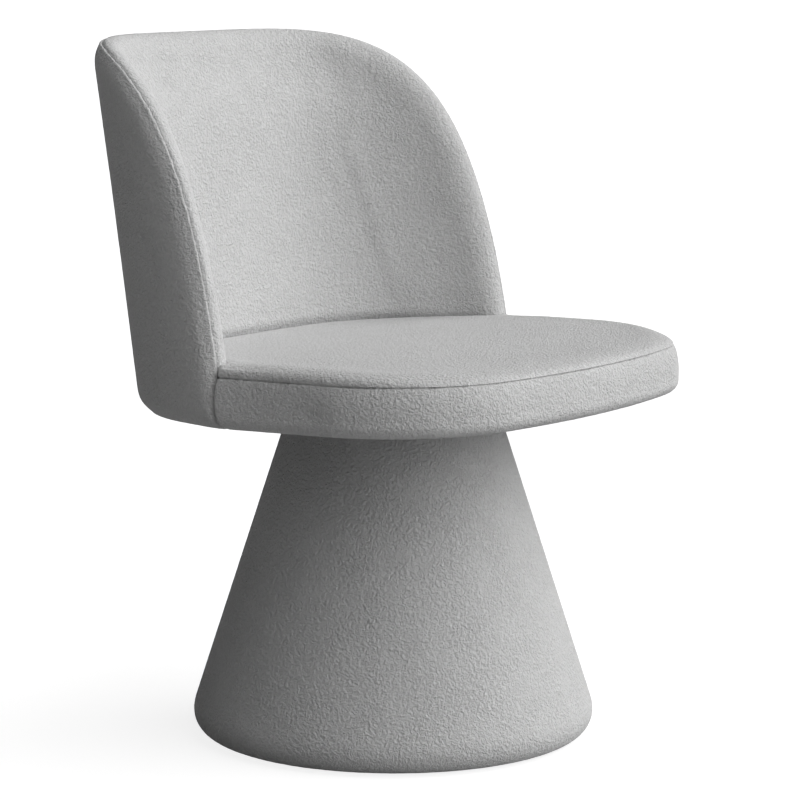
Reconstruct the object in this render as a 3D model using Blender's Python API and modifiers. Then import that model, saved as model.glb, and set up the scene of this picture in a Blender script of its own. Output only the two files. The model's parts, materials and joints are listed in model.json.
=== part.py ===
"""An upholstered swivel dining chair: a padded seat and barrel back that turn on a cone-shaped base.

Metres, +Z up. The front of the chair is -Y, and the swivel axis is the world's Z axis.
"""
import math

import bmesh
import bpy
from mathutils import Matrix, Vector

# Clearance between touching pieces, and the cover fabric
GAP = 0.0003
FABRIC = 0.0020

# Base, from the floor up
FLOOR_PAD_THICKNESS = 0.0030
FLOOR_PAD_RADIUS = 0.170
BALLAST_RADIUS = 0.178
BASE_BOARD_THICKNESS = 0.018
HEM_HEIGHT = 0.0012
HEM_CLEARANCE = 0.004
CONE_FLOOR_RADIUS = 0.2414
CONE_NECK_RADIUS = 0.1187
CONE_HEIGHT = 0.379
FOOT_ROUND = 0.030
NECK_ROUND = 0.012
CONE_FOAM = 0.008
CONE_SHELL = 0.006
TOP_BOARD_THICKNESS = 0.018

# Column inside the base
COLUMN_RADIUS = 0.030
COLUMN_WALL = 0.003
FLANGE_RADIUS = 0.062
FLANGE_THICKNESS = 0.006
FLANGE_BOLT_CIRCLE = 0.046
FLANGE_BOLT_RADIUS = 0.004
FLANGE_BOLT_REACH = 0.026

# Swivel bearing
SWIVEL_RADIUS = 0.085
SWIVEL_PLATE = 0.003
SWIVEL_PROUD = 0.0003
BALL_RADIUS = 0.0047
BALL_CIRCLE = 0.053
BALL_COUNT = 8
CAGE_WIDTH = 0.014
CAGE_THICKNESS = 0.0024
SWIVEL_BOLT_CIRCLE = 0.0725
SWIVEL_BOLT_RADIUS = 0.003
SWIVEL_NUT_HEIGHT = 0.005
SWIVEL_NUT_WALL = 0.0025
RIVET_RADIUS = 0.006
RIVET_HEAD_RADIUS = 0.011
RIVET_HEAD_HEIGHT = 0.003
RIVET_POCKET_RADIUS = 0.014
BOLT_HEAD_RATIO = 1.75
BOLT_HEAD_HEIGHT = 0.0034
FLANGE_BOLTS = 3
SWIVEL_BOLTS = 3

# Seat unit, pitched back about its underside on the swivel axis
SEAT_CLEARANCE = 0.007
SEAT_PITCH = math.radians(1.54)
DUST_COVER = 0.001
RAIL_HEIGHT = 0.027
RAIL_WIDTH = 0.032
SEAT_BOARD_THICKNESS = 0.012
SEAT_EDGE_FOAM = 0.008
SEAT_SEAM_HEIGHT = 0.056
SEAT_EDGE_HEIGHT = 0.069
SEAT_CROWN = 0.012
SEAT_TOP_ROUND = 0.045
SEAT_LOWER_ROUND = 0.010
SEAT_SIDE_STEP = 0.0046
SEAT_FRONT = 0.284
SEAT_FRONT_BOW = 0.91
SEAT_CORNER = 0.155
SEAT_SIDE_TAPER = 0.02
SEAT_CENTRE_Y = -0.03
SEAM_DIP = 0.0025
BAND_LIP = 0.014
SEAT_TO_BACK = 0.0025
ROUND_SHARES = (0.2, 0.5, 0.8, 1.0)
CROWN_SHARES = (0.7, 0.35, 0.0)

# Back: a superellipse in plan that widens and leans back with height
BACK_HALF_WIDTH = 0.3046
BACK_DEPTH = 0.3445
BACK_CENTRE_Y = -0.1027
BACK_WIDTH_SLOPE = -0.0129
BACK_DEPTH_SLOPE = 0.0459
BACK_LEAN = 0.0997
BACK_SQUARENESS = 3.05
BACK_HEIGHT = 0.4182
WING_ANGLE = 1.169
RIM_SIDE_POWER = 5.24
RIM_TOP_POWER = 2.29
BACK_WALL = 0.054
RIM_OUTER_ROUND = 0.022
HEM_OUTER_ROUND = 0.026
HEM_INNER_ROUND = 0.012
RIM_SEAM_ANGLE = math.radians(52)
OUTER_FOAM = 0.010
BACK_SHELL = 0.009
SHELL_RIM_INSET = 0.026
SHELL_HEM_INSET = 0.011
SPINE_ANGLE = 0.75
SPINE_HEIGHT = 0.17
EDGE_ROW = 0.036
FACE_ROWS = (0.6, 0.2)

# Bolts from the seat rail into the back's shell
BACK_BOLT_ANGLES = (-0.95, -0.35, 0.35, 0.95)
BACK_BOLT_RADIUS = 0.0035
BACK_BOLT_HEIGHT = 0.0185
BACK_BOLT_SEAT = 0.016

# Steps of the turned and lofted shapes
CONE_STEPS = 36
ROUND_STEPS = 24
SMALL_STEPS = 8
BALL_STEPS = 8
BALL_ROWS = 5
NECK_STEPS = 2
FOOT_STEPS = 5
BOARD_EDGE_STEPS = 4
BAND_STEPS = 3
ARCH_STEPS = 26
FINE_STEPS = 600
ARCH_FAN = 7
HEM_FAN = 3
SEAT_REAR_STEPS = 14
SEAT_CORNER_STEPS = 6
SEAT_FRONT_STEPS = 6

# Heights and offsets that follow from the sizes above
BALLAST_BOTTOM = FLOOR_PAD_THICKNESS + GAP
CONE_SLOPE = (CONE_FLOOR_RADIUS - CONE_NECK_RADIUS) / CONE_HEIGHT
CONE_LEAN = math.atan(CONE_SLOPE)
CONE_CORE = FABRIC + CONE_FOAM + 2 * GAP
BASE_BOARD_BOTTOM = HEM_HEIGHT + CONE_CORE
BALLAST_TOP = BASE_BOARD_BOTTOM - GAP
BASE_BOARD_TOP = BASE_BOARD_BOTTOM + BASE_BOARD_THICKNESS
SWIVEL_TOP = CONE_HEIGHT + SWIVEL_PROUD
SWIVEL_UPPER_BOTTOM = SWIVEL_TOP - SWIVEL_PLATE
BALL_HEIGHT = SWIVEL_UPPER_BOTTOM - GAP - BALL_RADIUS
SWIVEL_LOWER_TOP = BALL_HEIGHT - BALL_RADIUS - GAP
SWIVEL_LOWER_BOTTOM = SWIVEL_LOWER_TOP - SWIVEL_PLATE
TOP_BOARD_TOP = SWIVEL_LOWER_BOTTOM - GAP
TOP_BOARD_BOTTOM = TOP_BOARD_TOP - TOP_BOARD_THICKNESS
UPPER_FLANGE_TOP = TOP_BOARD_BOTTOM - GAP
SEAT_UNDERSIDE = CONE_HEIGHT + SEAT_CLEARANCE
SEAT_HALF_WIDTH = BACK_HALF_WIDTH - SEAT_SIDE_STEP
RAIL_BOTTOM = FABRIC + GAP
SEAT_BOARD_BOTTOM = RAIL_BOTTOM + RAIL_HEIGHT + GAP
SEAT_BOARD_TOP = SEAT_BOARD_BOTTOM + SEAT_BOARD_THICKNESS
INNER_FOAM_START = FABRIC + OUTER_FOAM + BACK_SHELL + 3 * GAP
SHELL_START = FABRIC + OUTER_FOAM + 2 * GAP
FOAM_SPLIT = SHELL_START + BACK_SHELL / 2
OUTER_TURNS = (0, RIM_SEAM_ANGLE / 2, RIM_SEAM_ANGLE)
INNER_TURNS = (0, math.pi / 4, math.pi / 2)

for old in list(bpy.data.objects):
    bpy.data.objects.remove(old, do_unlink=True)

parts = bpy.data.collections.new("swivel_dining_chair")
cutters = bpy.data.collections.new("cutters")
bpy.context.scene.collection.children.link(parts)
bpy.context.scene.collection.children.link(cutters)

seat_unit = bpy.data.objects.new("seat_unit", None)
seat_unit.location = (0, 0, SEAT_UNDERSIDE)
seat_unit.rotation_euler = (-SEAT_PITCH, 0, 0)
parts.objects.link(seat_unit)
SEAT_TO_WORLD = Matrix.Translation(seat_unit.location) @ Matrix.Rotation(-SEAT_PITCH, 4, "X")


def material(name, colour, roughness, metallic=0.0):
    made = bpy.data.materials.new(name)
    made.use_nodes = True
    shader = made.node_tree.nodes["Principled BSDF"]
    shader.inputs["Base Color"].default_value = (*colour, 1)
    shader.inputs["Roughness"].default_value = roughness
    shader.inputs["Metallic"].default_value = metallic
    return made


PILE = material("grey_pile_fabric", (0.62, 0.62, 0.62), 0.95)
FOAM = material("seat_foam", (0.82, 0.78, 0.62), 0.95)
PLYWOOD = material("plywood", (0.62, 0.45, 0.28), 0.65)
STEEL = material("zinc_plated_steel", (0.60, 0.61, 0.62), 0.35, 1.0)
BALL_STEEL = material("bearing_steel", (0.70, 0.70, 0.71), 0.15, 1.0)
BLACK_PAINT = material("black_painted_steel", (0.03, 0.03, 0.03), 0.45)
FELT = material("felt", (0.10, 0.10, 0.10), 1.0)
LINING = material("black_lining", (0.03, 0.03, 0.03), 0.95)
NYLON = material("nylon", (0.75, 0.74, 0.70), 0.45)


def new_object(name, mesh, finish, parent=None, home=None):
    made = bpy.data.objects.new(name, mesh)
    if finish:
        mesh.materials.append(finish)
    made.parent = parent
    (home or parts).objects.link(made)
    return made


def mesh_object(name, bm, finish, parent=None, home=None):
    bmesh.ops.recalc_face_normals(bm, faces=bm.faces)
    mesh = bpy.data.meshes.new(name)
    bm.to_mesh(mesh)
    bm.free()
    return new_object(name, mesh, finish, parent, home)


def turned(name, profile, finish, steps=CONE_STEPS):
    """A ring or disc from a closed (radius, height) profile, turned about Z with a Screw modifier."""
    bm = bmesh.new()
    points = [bm.verts.new((radius, 0, height)) for radius, height in profile]
    for first, second in zip(points, points[1:]):
        bm.edges.new((first, second))
    if profile[0][0] > 0 or profile[-1][0] > 0:
        bm.edges.new((points[-1], points[0]))
    mesh = bpy.data.meshes.new(name)
    bm.to_mesh(mesh)
    bm.free()
    made = new_object(name, mesh, finish)
    screw = made.modifiers.new("Turn", "SCREW")
    screw.steps = steps
    screw.render_steps = steps
    screw.use_merge_vertices = True
    screw.merge_threshold = 0.00001
    return made


def disc_profile(lower_radius, upper_radius, bottom, top):
    return [(0, top), (upper_radius, top), (lower_radius, bottom), (0, bottom)]


def ring_profile(inner, outer, bottom, top):
    return [(inner, top), (outer, top), (outer, bottom), (inner, bottom)]


def cut(target, cutter):
    """Boolean difference with a cutter object that is not part of the chair."""
    step = target.modifiers.new(cutter.name, "BOOLEAN")
    step.operation = "DIFFERENCE"
    step.solver = "EXACT"
    step.object = cutter


def copies(name, profile, places, finish, parent=None, steps=SMALL_STEPS):
    """One turned object for each place, numbered from 1."""
    made = []
    for number, place in enumerate(places, 1):
        piece = turned(f"{name}_{number}", profile, finish, steps)
        piece.parent = parent
        piece.matrix_local = place
        made.append(piece)
    return made


def drill(name, radius, above, below, places, parent=None, steps=SMALL_STEPS):
    """A cutter with a cylinder at each place, from a height above its origin to a depth below.

    Its flats, not its corners, lie at the radius, so that a turned pin of any angle clears them.
    """
    bm = bmesh.new()
    corner = radius / math.cos(math.pi / steps)
    for place in places:
        middle = place @ Matrix.Translation((0, 0, (above - below) / 2))
        bmesh.ops.create_cone(bm, cap_ends=True, segments=steps, radius1=corner, radius2=corner,
                              depth=above + below, matrix=middle)
    return mesh_object(name, bm, None, parent, cutters)


def circle_places(radius, height, count, start=0.0, flip=False):
    """Places on a circle about the swivel axis; flip turns the piece upside down."""
    places = []
    for index in range(count):
        angle = start + 2 * math.pi * index / count
        spot = Matrix.Translation((radius * math.cos(angle), radius * math.sin(angle), height))
        places.append(spot @ Matrix.Rotation(math.pi, 4, "X") if flip else spot)
    return places


def bolt_profile(radius, reach):
    """A bolt with its head above the origin and its shank below."""
    head = radius * BOLT_HEAD_RATIO
    top = BOLT_HEAD_HEIGHT
    return [(0, top), (head, top), (head, 0), (radius, 0), (radius, -reach), (0, -reach)]


def add_quad(bm, corners):
    """Two triangles, split along the diagonal that lies further out, so that nested layers split alike."""
    def reach(first, second):
        middle = (corners[first].co + corners[second].co) / 2
        return math.hypot(middle.x, middle.y - SEAT_CENTRE_Y) + middle.z
    turn = 0 if reach(0, 2) >= reach(1, 3) else 1
    around = corners[turn:] + corners[:turn]
    bm.faces.new((around[0], around[1], around[2]))
    bm.faces.new((around[0], around[2], around[3]))


def loft(name, rings, finish, parent=None, wrap=False, poles=True):
    """A closed solid through rings of equal count; poles closes the end rings, wrap joins last to first."""
    bm = bmesh.new()
    rows = [[bm.verts.new(point) for point in ring] for ring in rings]
    pairs = list(zip(rows, rows[1:]))
    if wrap:
        pairs.append((rows[-1], rows[0]))
    for first, second in pairs:
        for index in range(len(first)):
            after = (index + 1) % len(first)
            add_quad(bm, [first[index], first[after], second[after], second[index]])
    if poles:
        bmesh.ops.remove_doubles(bm, verts=bm.verts, dist=1e-6)
    return mesh_object(name, bm, finish, parent)


def sweep(name, sections, finish, parent=None):
    """A closed solid through like sections that follow an open path, with a cap at each end."""
    bm = bmesh.new()
    rows = [[bm.verts.new(point) for point in section] for section in sections]
    for first, second in zip(rows, rows[1:]):
        for index in range(len(first)):
            after = (index + 1) % len(first)
            add_quad(bm, [first[index], first[after], second[after], second[index]])
    caps = [bm.faces.new(rows[0]), bm.faces.new(rows[-1])]
    bmesh.ops.triangulate(bm, faces=caps)
    return mesh_object(name, bm, finish, parent)


def arc(centre, radius, start, end, steps):
    """Points of an arc in a plane, both ends included."""
    points = []
    for index in range(steps + 1):
        angle = start + (end - start) * index / steps
        points.append((centre[0] + radius * math.cos(angle), centre[1] + radius * math.sin(angle)))
    return points


def cone_radius(height, inset=0.0):
    return CONE_FLOOR_RADIUS - CONE_SLOPE * height - inset / math.cos(CONE_LEAN)


def cone_contour(inset):
    """Outline of the base from its neck lip down to its hem, drawn in by an inset."""
    neck_height = CONE_HEIGHT - NECK_ROUND
    neck = (cone_radius(neck_height, NECK_ROUND), neck_height)
    foot_height = HEM_HEIGHT + FOOT_ROUND
    foot = (cone_radius(foot_height, FOOT_ROUND), foot_height)
    lip = cone_radius(CONE_HEIGHT - CONE_CORE, CONE_CORE + CONE_SHELL)
    outline = [(lip, CONE_HEIGHT - inset)]
    outline += arc(neck, NECK_ROUND - inset, math.pi / 2, CONE_LEAN, NECK_STEPS)
    outline += arc(foot, FOOT_ROUND - inset, CONE_LEAN, -math.pi / 2, FOOT_STEPS)
    outline.append((BALLAST_RADIUS + HEM_CLEARANCE, HEM_HEIGHT + inset))
    return outline


def build_base():
    turned("floor_pad", disc_profile(FLOOR_PAD_RADIUS, FLOOR_PAD_RADIUS, 0, FLOOR_PAD_THICKNESS), FELT)
    ballast = turned("ballast_plate",
                     disc_profile(BALLAST_RADIUS, BALLAST_RADIUS, BALLAST_BOTTOM, BALLAST_TOP), STEEL)
    foot_height = HEM_HEIGHT + FOOT_ROUND
    foot = (cone_radius(foot_height, FOOT_ROUND), foot_height)
    edge = FOOT_ROUND - CONE_CORE
    rise = math.asin((BASE_BOARD_TOP - foot_height) / edge)
    board_edge = arc(foot, edge, rise, -math.pi / 2, BOARD_EDGE_STEPS)
    board = turned("base_board", [(0, BASE_BOARD_TOP)] + board_edge + [(0, BASE_BOARD_BOTTOM)], PLYWOOD)
    inner = CONE_CORE + CONE_SHELL
    shell_top = CONE_HEIGHT - NECK_ROUND
    seat = math.asin((BASE_BOARD_TOP + GAP - foot_height) / edge)
    shell_outside = [(cone_radius(shell_top, CONE_CORE), shell_top)] + arc(foot, edge, CONE_LEAN, seat, 1)
    shell_foot, shell_bottom = shell_outside[-1]
    shell_inside = [(shell_foot - CONE_SHELL, shell_bottom), (cone_radius(shell_top, inner), shell_top)]
    turned("cone_shell", shell_outside + shell_inside, PLYWOOD)
    turned("cone_foam", cone_contour(FABRIC + GAP) + cone_contour(CONE_CORE - GAP)[::-1], FOAM)
    turned("cone_cover", cone_contour(0) + cone_contour(FABRIC)[::-1], PILE)
    wide, narrow = (cone_radius(height, inner + GAP) for height in (TOP_BOARD_BOTTOM, TOP_BOARD_TOP))
    top_board = turned("top_board", disc_profile(wide, narrow, TOP_BOARD_BOTTOM, TOP_BOARD_TOP), PLYWOOD)
    return ballast, board, top_board


def build_column(ballast, board, top_board):
    lower_bottom = BASE_BOARD_TOP + GAP
    lower_top = lower_bottom + FLANGE_THICKNESS
    upper_bottom = UPPER_FLANGE_TOP - FLANGE_THICKNESS
    low_disc = disc_profile(FLANGE_RADIUS, FLANGE_RADIUS, lower_bottom, lower_top)
    high_disc = disc_profile(FLANGE_RADIUS, FLANGE_RADIUS, upper_bottom, UPPER_FLANGE_TOP)
    tube = ring_profile(COLUMN_RADIUS - COLUMN_WALL, COLUMN_RADIUS, lower_top + GAP, upper_bottom - GAP)
    lower = turned("column_lower_flange", low_disc, BLACK_PAINT, ROUND_STEPS)
    upper = turned("column_upper_flange", high_disc, BLACK_PAINT, ROUND_STEPS)
    turned("column_tube", tube, BLACK_PAINT, ROUND_STEPS)
    start = math.pi / FLANGE_BOLTS
    bore = FLANGE_BOLT_RADIUS + GAP
    low = circle_places(FLANGE_BOLT_CIRCLE, lower_top + GAP, FLANGE_BOLTS, start)
    copies("lower_flange_bolt", bolt_profile(FLANGE_BOLT_RADIUS, FLANGE_BOLT_REACH), low, STEEL)
    low_holes = drill("lower_flange_holes", bore, GAP, FLANGE_BOLT_REACH + GAP, low)
    for target in (lower, board, ballast):
        cut(target, low_holes)
    short = FLANGE_THICKNESS + TOP_BOARD_THICKNESS - GAP
    high = circle_places(FLANGE_BOLT_CIRCLE, upper_bottom - GAP, FLANGE_BOLTS, start, flip=True)
    copies("upper_flange_bolt", bolt_profile(FLANGE_BOLT_RADIUS, short), high, STEEL)
    high_holes = drill("upper_flange_holes", bore, GAP, short + 4 * GAP, high)
    for target in (upper, top_board):
        cut(target, high_holes)


def build_swivel(top_board):
    rivet_hole = RIVET_RADIUS + GAP
    low_ring = ring_profile(rivet_hole, SWIVEL_RADIUS, SWIVEL_LOWER_BOTTOM, SWIVEL_LOWER_TOP)
    high_ring = ring_profile(rivet_hole, SWIVEL_RADIUS, SWIVEL_UPPER_BOTTOM, SWIVEL_TOP)
    lower = turned("swivel_lower_plate", low_ring, STEEL, ROUND_STEPS)
    upper = turned("swivel_upper_plate", high_ring, STEEL, ROUND_STEPS)
    rivet_top = SWIVEL_TOP + GAP
    rivet_bottom = SWIVEL_LOWER_BOTTOM - GAP
    upper_head = [(RIVET_HEAD_RADIUS, rivet_top + RIVET_HEAD_HEIGHT), (RIVET_HEAD_RADIUS, rivet_top)]
    shank = [(RIVET_RADIUS, rivet_top), (RIVET_RADIUS, rivet_bottom)]
    lower_head = [(RIVET_HEAD_RADIUS, rivet_bottom), (RIVET_HEAD_RADIUS, rivet_bottom - RIVET_HEAD_HEIGHT)]
    crown = [(0, rivet_top + RIVET_HEAD_HEIGHT)]
    tail = [(0, rivet_bottom - RIVET_HEAD_HEIGHT)]
    turned("swivel_rivet", crown + upper_head + shank + lower_head + tail, STEEL, ROUND_STEPS)
    pocket = drill("rivet_pocket", RIVET_POCKET_RADIUS, GAP, RIVET_HEAD_HEIGHT + 3 * GAP,
                   [Matrix.Translation((0, 0, TOP_BOARD_TOP))], steps=ROUND_STEPS)
    cut(top_board, pocket)
    low = circle_places(SWIVEL_BOLT_CIRCLE, SWIVEL_LOWER_TOP + GAP, SWIVEL_BOLTS)
    bore = SWIVEL_BOLT_RADIUS + GAP
    reach = SWIVEL_PLATE + TOP_BOARD_THICKNESS + SWIVEL_NUT_HEIGHT + 2 * GAP
    copies("swivel_lower_bolt", bolt_profile(SWIVEL_BOLT_RADIUS, reach), low, STEEL)
    nut = ring_profile(bore, bore + SWIVEL_NUT_WALL, -SWIVEL_NUT_HEIGHT, 0)
    nut_places = circle_places(SWIVEL_BOLT_CIRCLE, TOP_BOARD_BOTTOM - GAP, SWIVEL_BOLTS)
    copies("swivel_lower_nut", nut, nut_places, STEEL)
    holes = drill("swivel_lower_holes", bore, GAP, reach + GAP, low)
    for target in (lower, top_board):
        cut(target, holes)
    build_balls()
    return upper


def build_balls():
    places = circle_places(BALL_CIRCLE, BALL_HEIGHT, BALL_COUNT)
    for number, place in enumerate(places, 1):
        bm = bmesh.new()
        bmesh.ops.create_uvsphere(bm, u_segments=BALL_STEPS, v_segments=BALL_ROWS, radius=BALL_RADIUS)
        ball = mesh_object(f"swivel_ball_{number}", bm, BALL_STEEL)
        ball.matrix_local = place
    width, height = CAGE_WIDTH / 2, CAGE_THICKNESS / 2
    ring = ring_profile(BALL_CIRCLE - width, BALL_CIRCLE + width, BALL_HEIGHT - height, BALL_HEIGHT + height)
    cage = turned("swivel_cage", ring, NYLON, ROUND_STEPS)
    cut(cage, drill("cage_holes", BALL_RADIUS + GAP, CAGE_THICKNESS, CAGE_THICKNESS, places))


def back_surface(angle, height):
    """A point of the back's outer face, in the seat unit's frame."""
    half_width = BACK_HALF_WIDTH + BACK_WIDTH_SLOPE * height
    depth = BACK_DEPTH + BACK_DEPTH_SLOPE * height
    centre = BACK_CENTRE_Y + BACK_LEAN * height
    across, along = math.sin(angle), math.cos(angle)
    power = BACK_SQUARENESS
    reach = ((abs(across) / half_width) ** power + (abs(along) / depth) ** power) ** (-1 / power)
    return Vector((reach * across, centre + reach * along, height))


def back_normal(angle, height):
    """Unit vector from the back's outer face towards the sitter."""
    step = 1e-4
    around = back_surface(angle + step, height) - back_surface(angle - step, height)
    upward = back_surface(angle, height + step) - back_surface(angle, height - step)
    across = around.cross(upward).normalized()
    outward = Vector((math.sin(angle), math.cos(angle), 0))
    return across * -math.copysign(1, across.dot(outward))


class RimPoint:
    """A place on the back's edge, and the line from it over the face to the middle of the panel."""

    def __init__(self, angle, height, spine_angle, outer_round, inner_round, shell_inset):
        self.angle = angle
        self.height = height
        self.spine_angle = spine_angle
        self.outer_round = outer_round
        self.inner_round = inner_round
        self.shell_inset = shell_inset
        chord = back_surface(angle, height) - back_surface(spine_angle, SPINE_HEIGHT)
        self.length = chord.length

    def at(self, depth, inset):
        """Point at a depth under the outer face and an inset from the edge."""
        share = inset / self.length
        angle = self.angle + (self.spine_angle - self.angle) * share
        height = self.height + (SPINE_HEIGHT - self.height) * share
        return back_surface(angle, height) + back_normal(angle, height) * depth

    def outside(self, offset, turns):
        """(depth, inset) pairs round the outer half of the edge, from the face at 0 to the crest."""
        middle = self.outer_round
        radius = middle - offset
        return [(middle - radius * math.cos(turn), middle - radius * math.sin(turn)) for turn in turns]

    def inside(self, offset):
        """(depth, inset) pairs from the inner face round the inner half of the edge to its crest."""
        middle = BACK_WALL - self.inner_round
        radius = self.inner_round - offset
        return [(middle + radius * math.cos(turn), self.inner_round - radius * math.sin(turn))
                for turn in INNER_TURNS]

    def split(self):
        """Turn at which the rounded edge of the foam reaches the plane between its two layers."""
        return math.acos((self.outer_round - FOAM_SPLIT) / (self.outer_round - FABRIC - GAP))

    def face(self, depth):
        """(depth, inset) pairs of a face, from the middle of the panel towards the edge."""
        far, near = FACE_ROWS
        row = EDGE_ROW + (self.length - EDGE_ROW) * near
        return [(depth, self.length), (depth, self.length * far), (depth, row)]


def arch_place(turn):
    """Angle and height of the back's upper edge, for a turn from 0 at one wing to pi at the other."""
    side, rise = math.cos(turn), math.sin(turn)
    angle = WING_ANGLE * math.copysign(abs(side) ** (2 / RIM_SIDE_POWER), side)
    return angle, BACK_HEIGHT * abs(rise) ** (2 / RIM_TOP_POWER)


def even_arch(steps):
    """Places at even distances along the back's upper edge."""
    fine = [arch_place(math.pi * index / FINE_STEPS) for index in range(FINE_STEPS + 1)]
    runs = [0.0]
    for first, second in zip(fine, fine[1:]):
        runs.append(runs[-1] + (back_surface(*second) - back_surface(*first)).length)
    return [fine[min(range(len(runs)), key=lambda at: abs(runs[at] - runs[-1] * index / steps))]
            for index in range(steps + 1)]


def rim_points():
    """The back's edge: over the arch from one wing to the other, then back along the hem."""
    edge = []
    middle = ARCH_STEPS - 2 * ARCH_FAN
    for index, (angle, height) in enumerate(even_arch(ARCH_STEPS)):
        share = min(1.0, max(0.0, (index - ARCH_FAN) / middle))
        edge.append(RimPoint(angle, height, SPINE_ANGLE * (1 - 2 * share), RIM_OUTER_ROUND,
                             BACK_WALL - RIM_OUTER_ROUND, SHELL_RIM_INSET))
    for index in range(1, middle + 2 * HEM_FAN):
        share = min(1.0, max(0.0, (index - HEM_FAN) / middle))
        spine = -SPINE_ANGLE * (1 - 2 * share)
        fan = max(HEM_FAN - index, index - HEM_FAN - middle, 0) / HEM_FAN
        angle = math.copysign(SPINE_ANGLE + (WING_ANGLE - SPINE_ANGLE) * fan, spine) if fan else spine
        edge.append(RimPoint(angle, 0.0, spine, HEM_OUTER_ROUND, HEM_INNER_ROUND, SHELL_HEM_INSET))
    return edge


EDGE = rim_points()


def back_layer(name, profile, finish):
    """A layer of the back: profile(edge point) gives its (depth, inset) pairs from middle to middle."""
    columns = [[point.at(*pair) for pair in profile(point)] for point in EDGE]
    rings = [list(row) for row in zip(*columns)]
    return loft(name, rings, finish, seat_unit)


def outer_cover_profile(point):
    edge = point.outside(0, OUTER_TURNS)
    lining = point.outside(FABRIC, OUTER_TURNS)
    return point.face(0) + edge + lining[::-1] + point.face(FABRIC)[::-1]


def inner_cover_profile(point):
    turns = (math.pi / 2, point.split(), RIM_SEAM_ANGLE + 2 * GAP / point.outer_round)
    edge = point.inside(0) + point.outside(0, turns)
    lining = point.inside(FABRIC) + point.outside(FABRIC, turns)
    return point.face(BACK_WALL) + edge + lining[::-1] + point.face(BACK_WALL - FABRIC)[::-1]


def outer_foam_profile(point):
    skin = FABRIC + GAP
    edge = point.outside(skin, OUTER_TURNS)
    crest = point.outside(skin, [point.split()])[0][1]
    stop = FOAM_SPLIT - GAP / 2
    step = [(stop, crest), (stop, point.shell_inset - GAP), (skin + OUTER_FOAM, point.shell_inset - GAP)]
    return point.face(skin) + edge + step + point.face(skin + OUTER_FOAM)[::-1]


def inner_foam_profile(point):
    skin = FABRIC + GAP
    edge = point.inside(skin) + point.outside(skin, [math.pi / 2])
    crest = point.outside(skin, [point.split()])[0][1]
    stop = FOAM_SPLIT + GAP / 2
    step = [(stop, crest), (stop, point.shell_inset - GAP), (INNER_FOAM_START, point.shell_inset - GAP)]
    return point.face(BACK_WALL - skin) + edge + step + point.face(INNER_FOAM_START)[::-1]


def shell_profile(point):
    inside = SHELL_START + BACK_SHELL
    edge = [(SHELL_START, point.shell_inset), (inside, point.shell_inset)]
    return point.face(SHELL_START) + edge + point.face(inside)[::-1]


def build_back():
    back_layer("back_outer_cover", outer_cover_profile, PILE)
    inner_cover = back_layer("back_inner_cover", inner_cover_profile, PILE)
    back_layer("back_outer_foam", outer_foam_profile, FOAM)
    inner_foam = back_layer("back_inner_foam", inner_foam_profile, FOAM)
    shell = back_layer("back_shell", shell_profile, PLYWOOD)
    return inner_cover, inner_foam, shell


def rear_outline(height):
    """The seat's rear edge at a height, along the inside of the back from one wing to the other."""
    points = []
    for index in range(SEAT_REAR_STEPS + 1):
        angle = WING_ANGLE * (1 - 2 * index / SEAT_REAR_STEPS)
        inward = back_normal(angle, height)
        points.append(back_surface(angle, height) + inward * (BACK_WALL + SEAT_TO_BACK))
    return points


def front_outline():
    """The seat's exposed edge, from the left wing round the front to the right wing."""
    tip = back_surface(WING_ANGLE, 0)
    inward = back_normal(WING_ANGLE, 0)
    ahead = Vector((-inward.y, inward.x, 0)).normalized()
    shoulder = tip + ahead * SEAT_TO_BACK
    side = Vector((math.cos(SEAT_SIDE_TAPER), -math.sin(SEAT_SIDE_TAPER)))
    along = Vector((-side.y, side.x)) * -1
    wall = side.x * SEAT_HALF_WIDTH + side.y * shoulder.y
    bow = Vector((0, SEAT_FRONT_BOW - SEAT_FRONT))
    base = side * (wall - SEAT_CORNER)
    offset = base - bow
    lean = offset.dot(along)
    run = -lean + math.sqrt(lean * lean - offset.length_squared + (SEAT_FRONT_BOW - SEAT_CORNER) ** 2)
    corner = base + along * run
    turn_end = math.atan2(corner.y - bow.y, corner.x - bow.x)
    inner_shoulder = shoulder + inward * (BACK_WALL + SEAT_TO_BACK)
    half = [inner_shoulder[:2], (SEAT_HALF_WIDTH - SEAT_TO_BACK, shoulder.y)]
    half += arc(corner, SEAT_CORNER, -SEAT_SIDE_TAPER, turn_end, SEAT_CORNER_STEPS)
    half += arc(bow, SEAT_FRONT_BOW, turn_end, -math.pi / 2, SEAT_FRONT_STEPS // 2)[1:]
    return half + [(-x, y) for x, y in half[-2::-1]]


FRONT = front_outline()


def drawn_in(point, inset):
    """A plan point moved towards the middle of the seat."""
    spot = Vector(point[:2])
    middle = Vector((0, SEAT_CENTRE_Y))
    return spot + (middle - spot).normalized() * inset


def seat_ring(height, front_inset, rear_inset):
    """The seat's outline at a height: the exposed edge, then the rear edge inside the back."""
    ring = [drawn_in(point, front_inset).to_3d() for point in FRONT]
    ring += [drawn_in(point, rear_inset).to_3d() for point in rear_outline(height)[::-1]]
    for point in ring:
        point.z = height
    return ring


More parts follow.
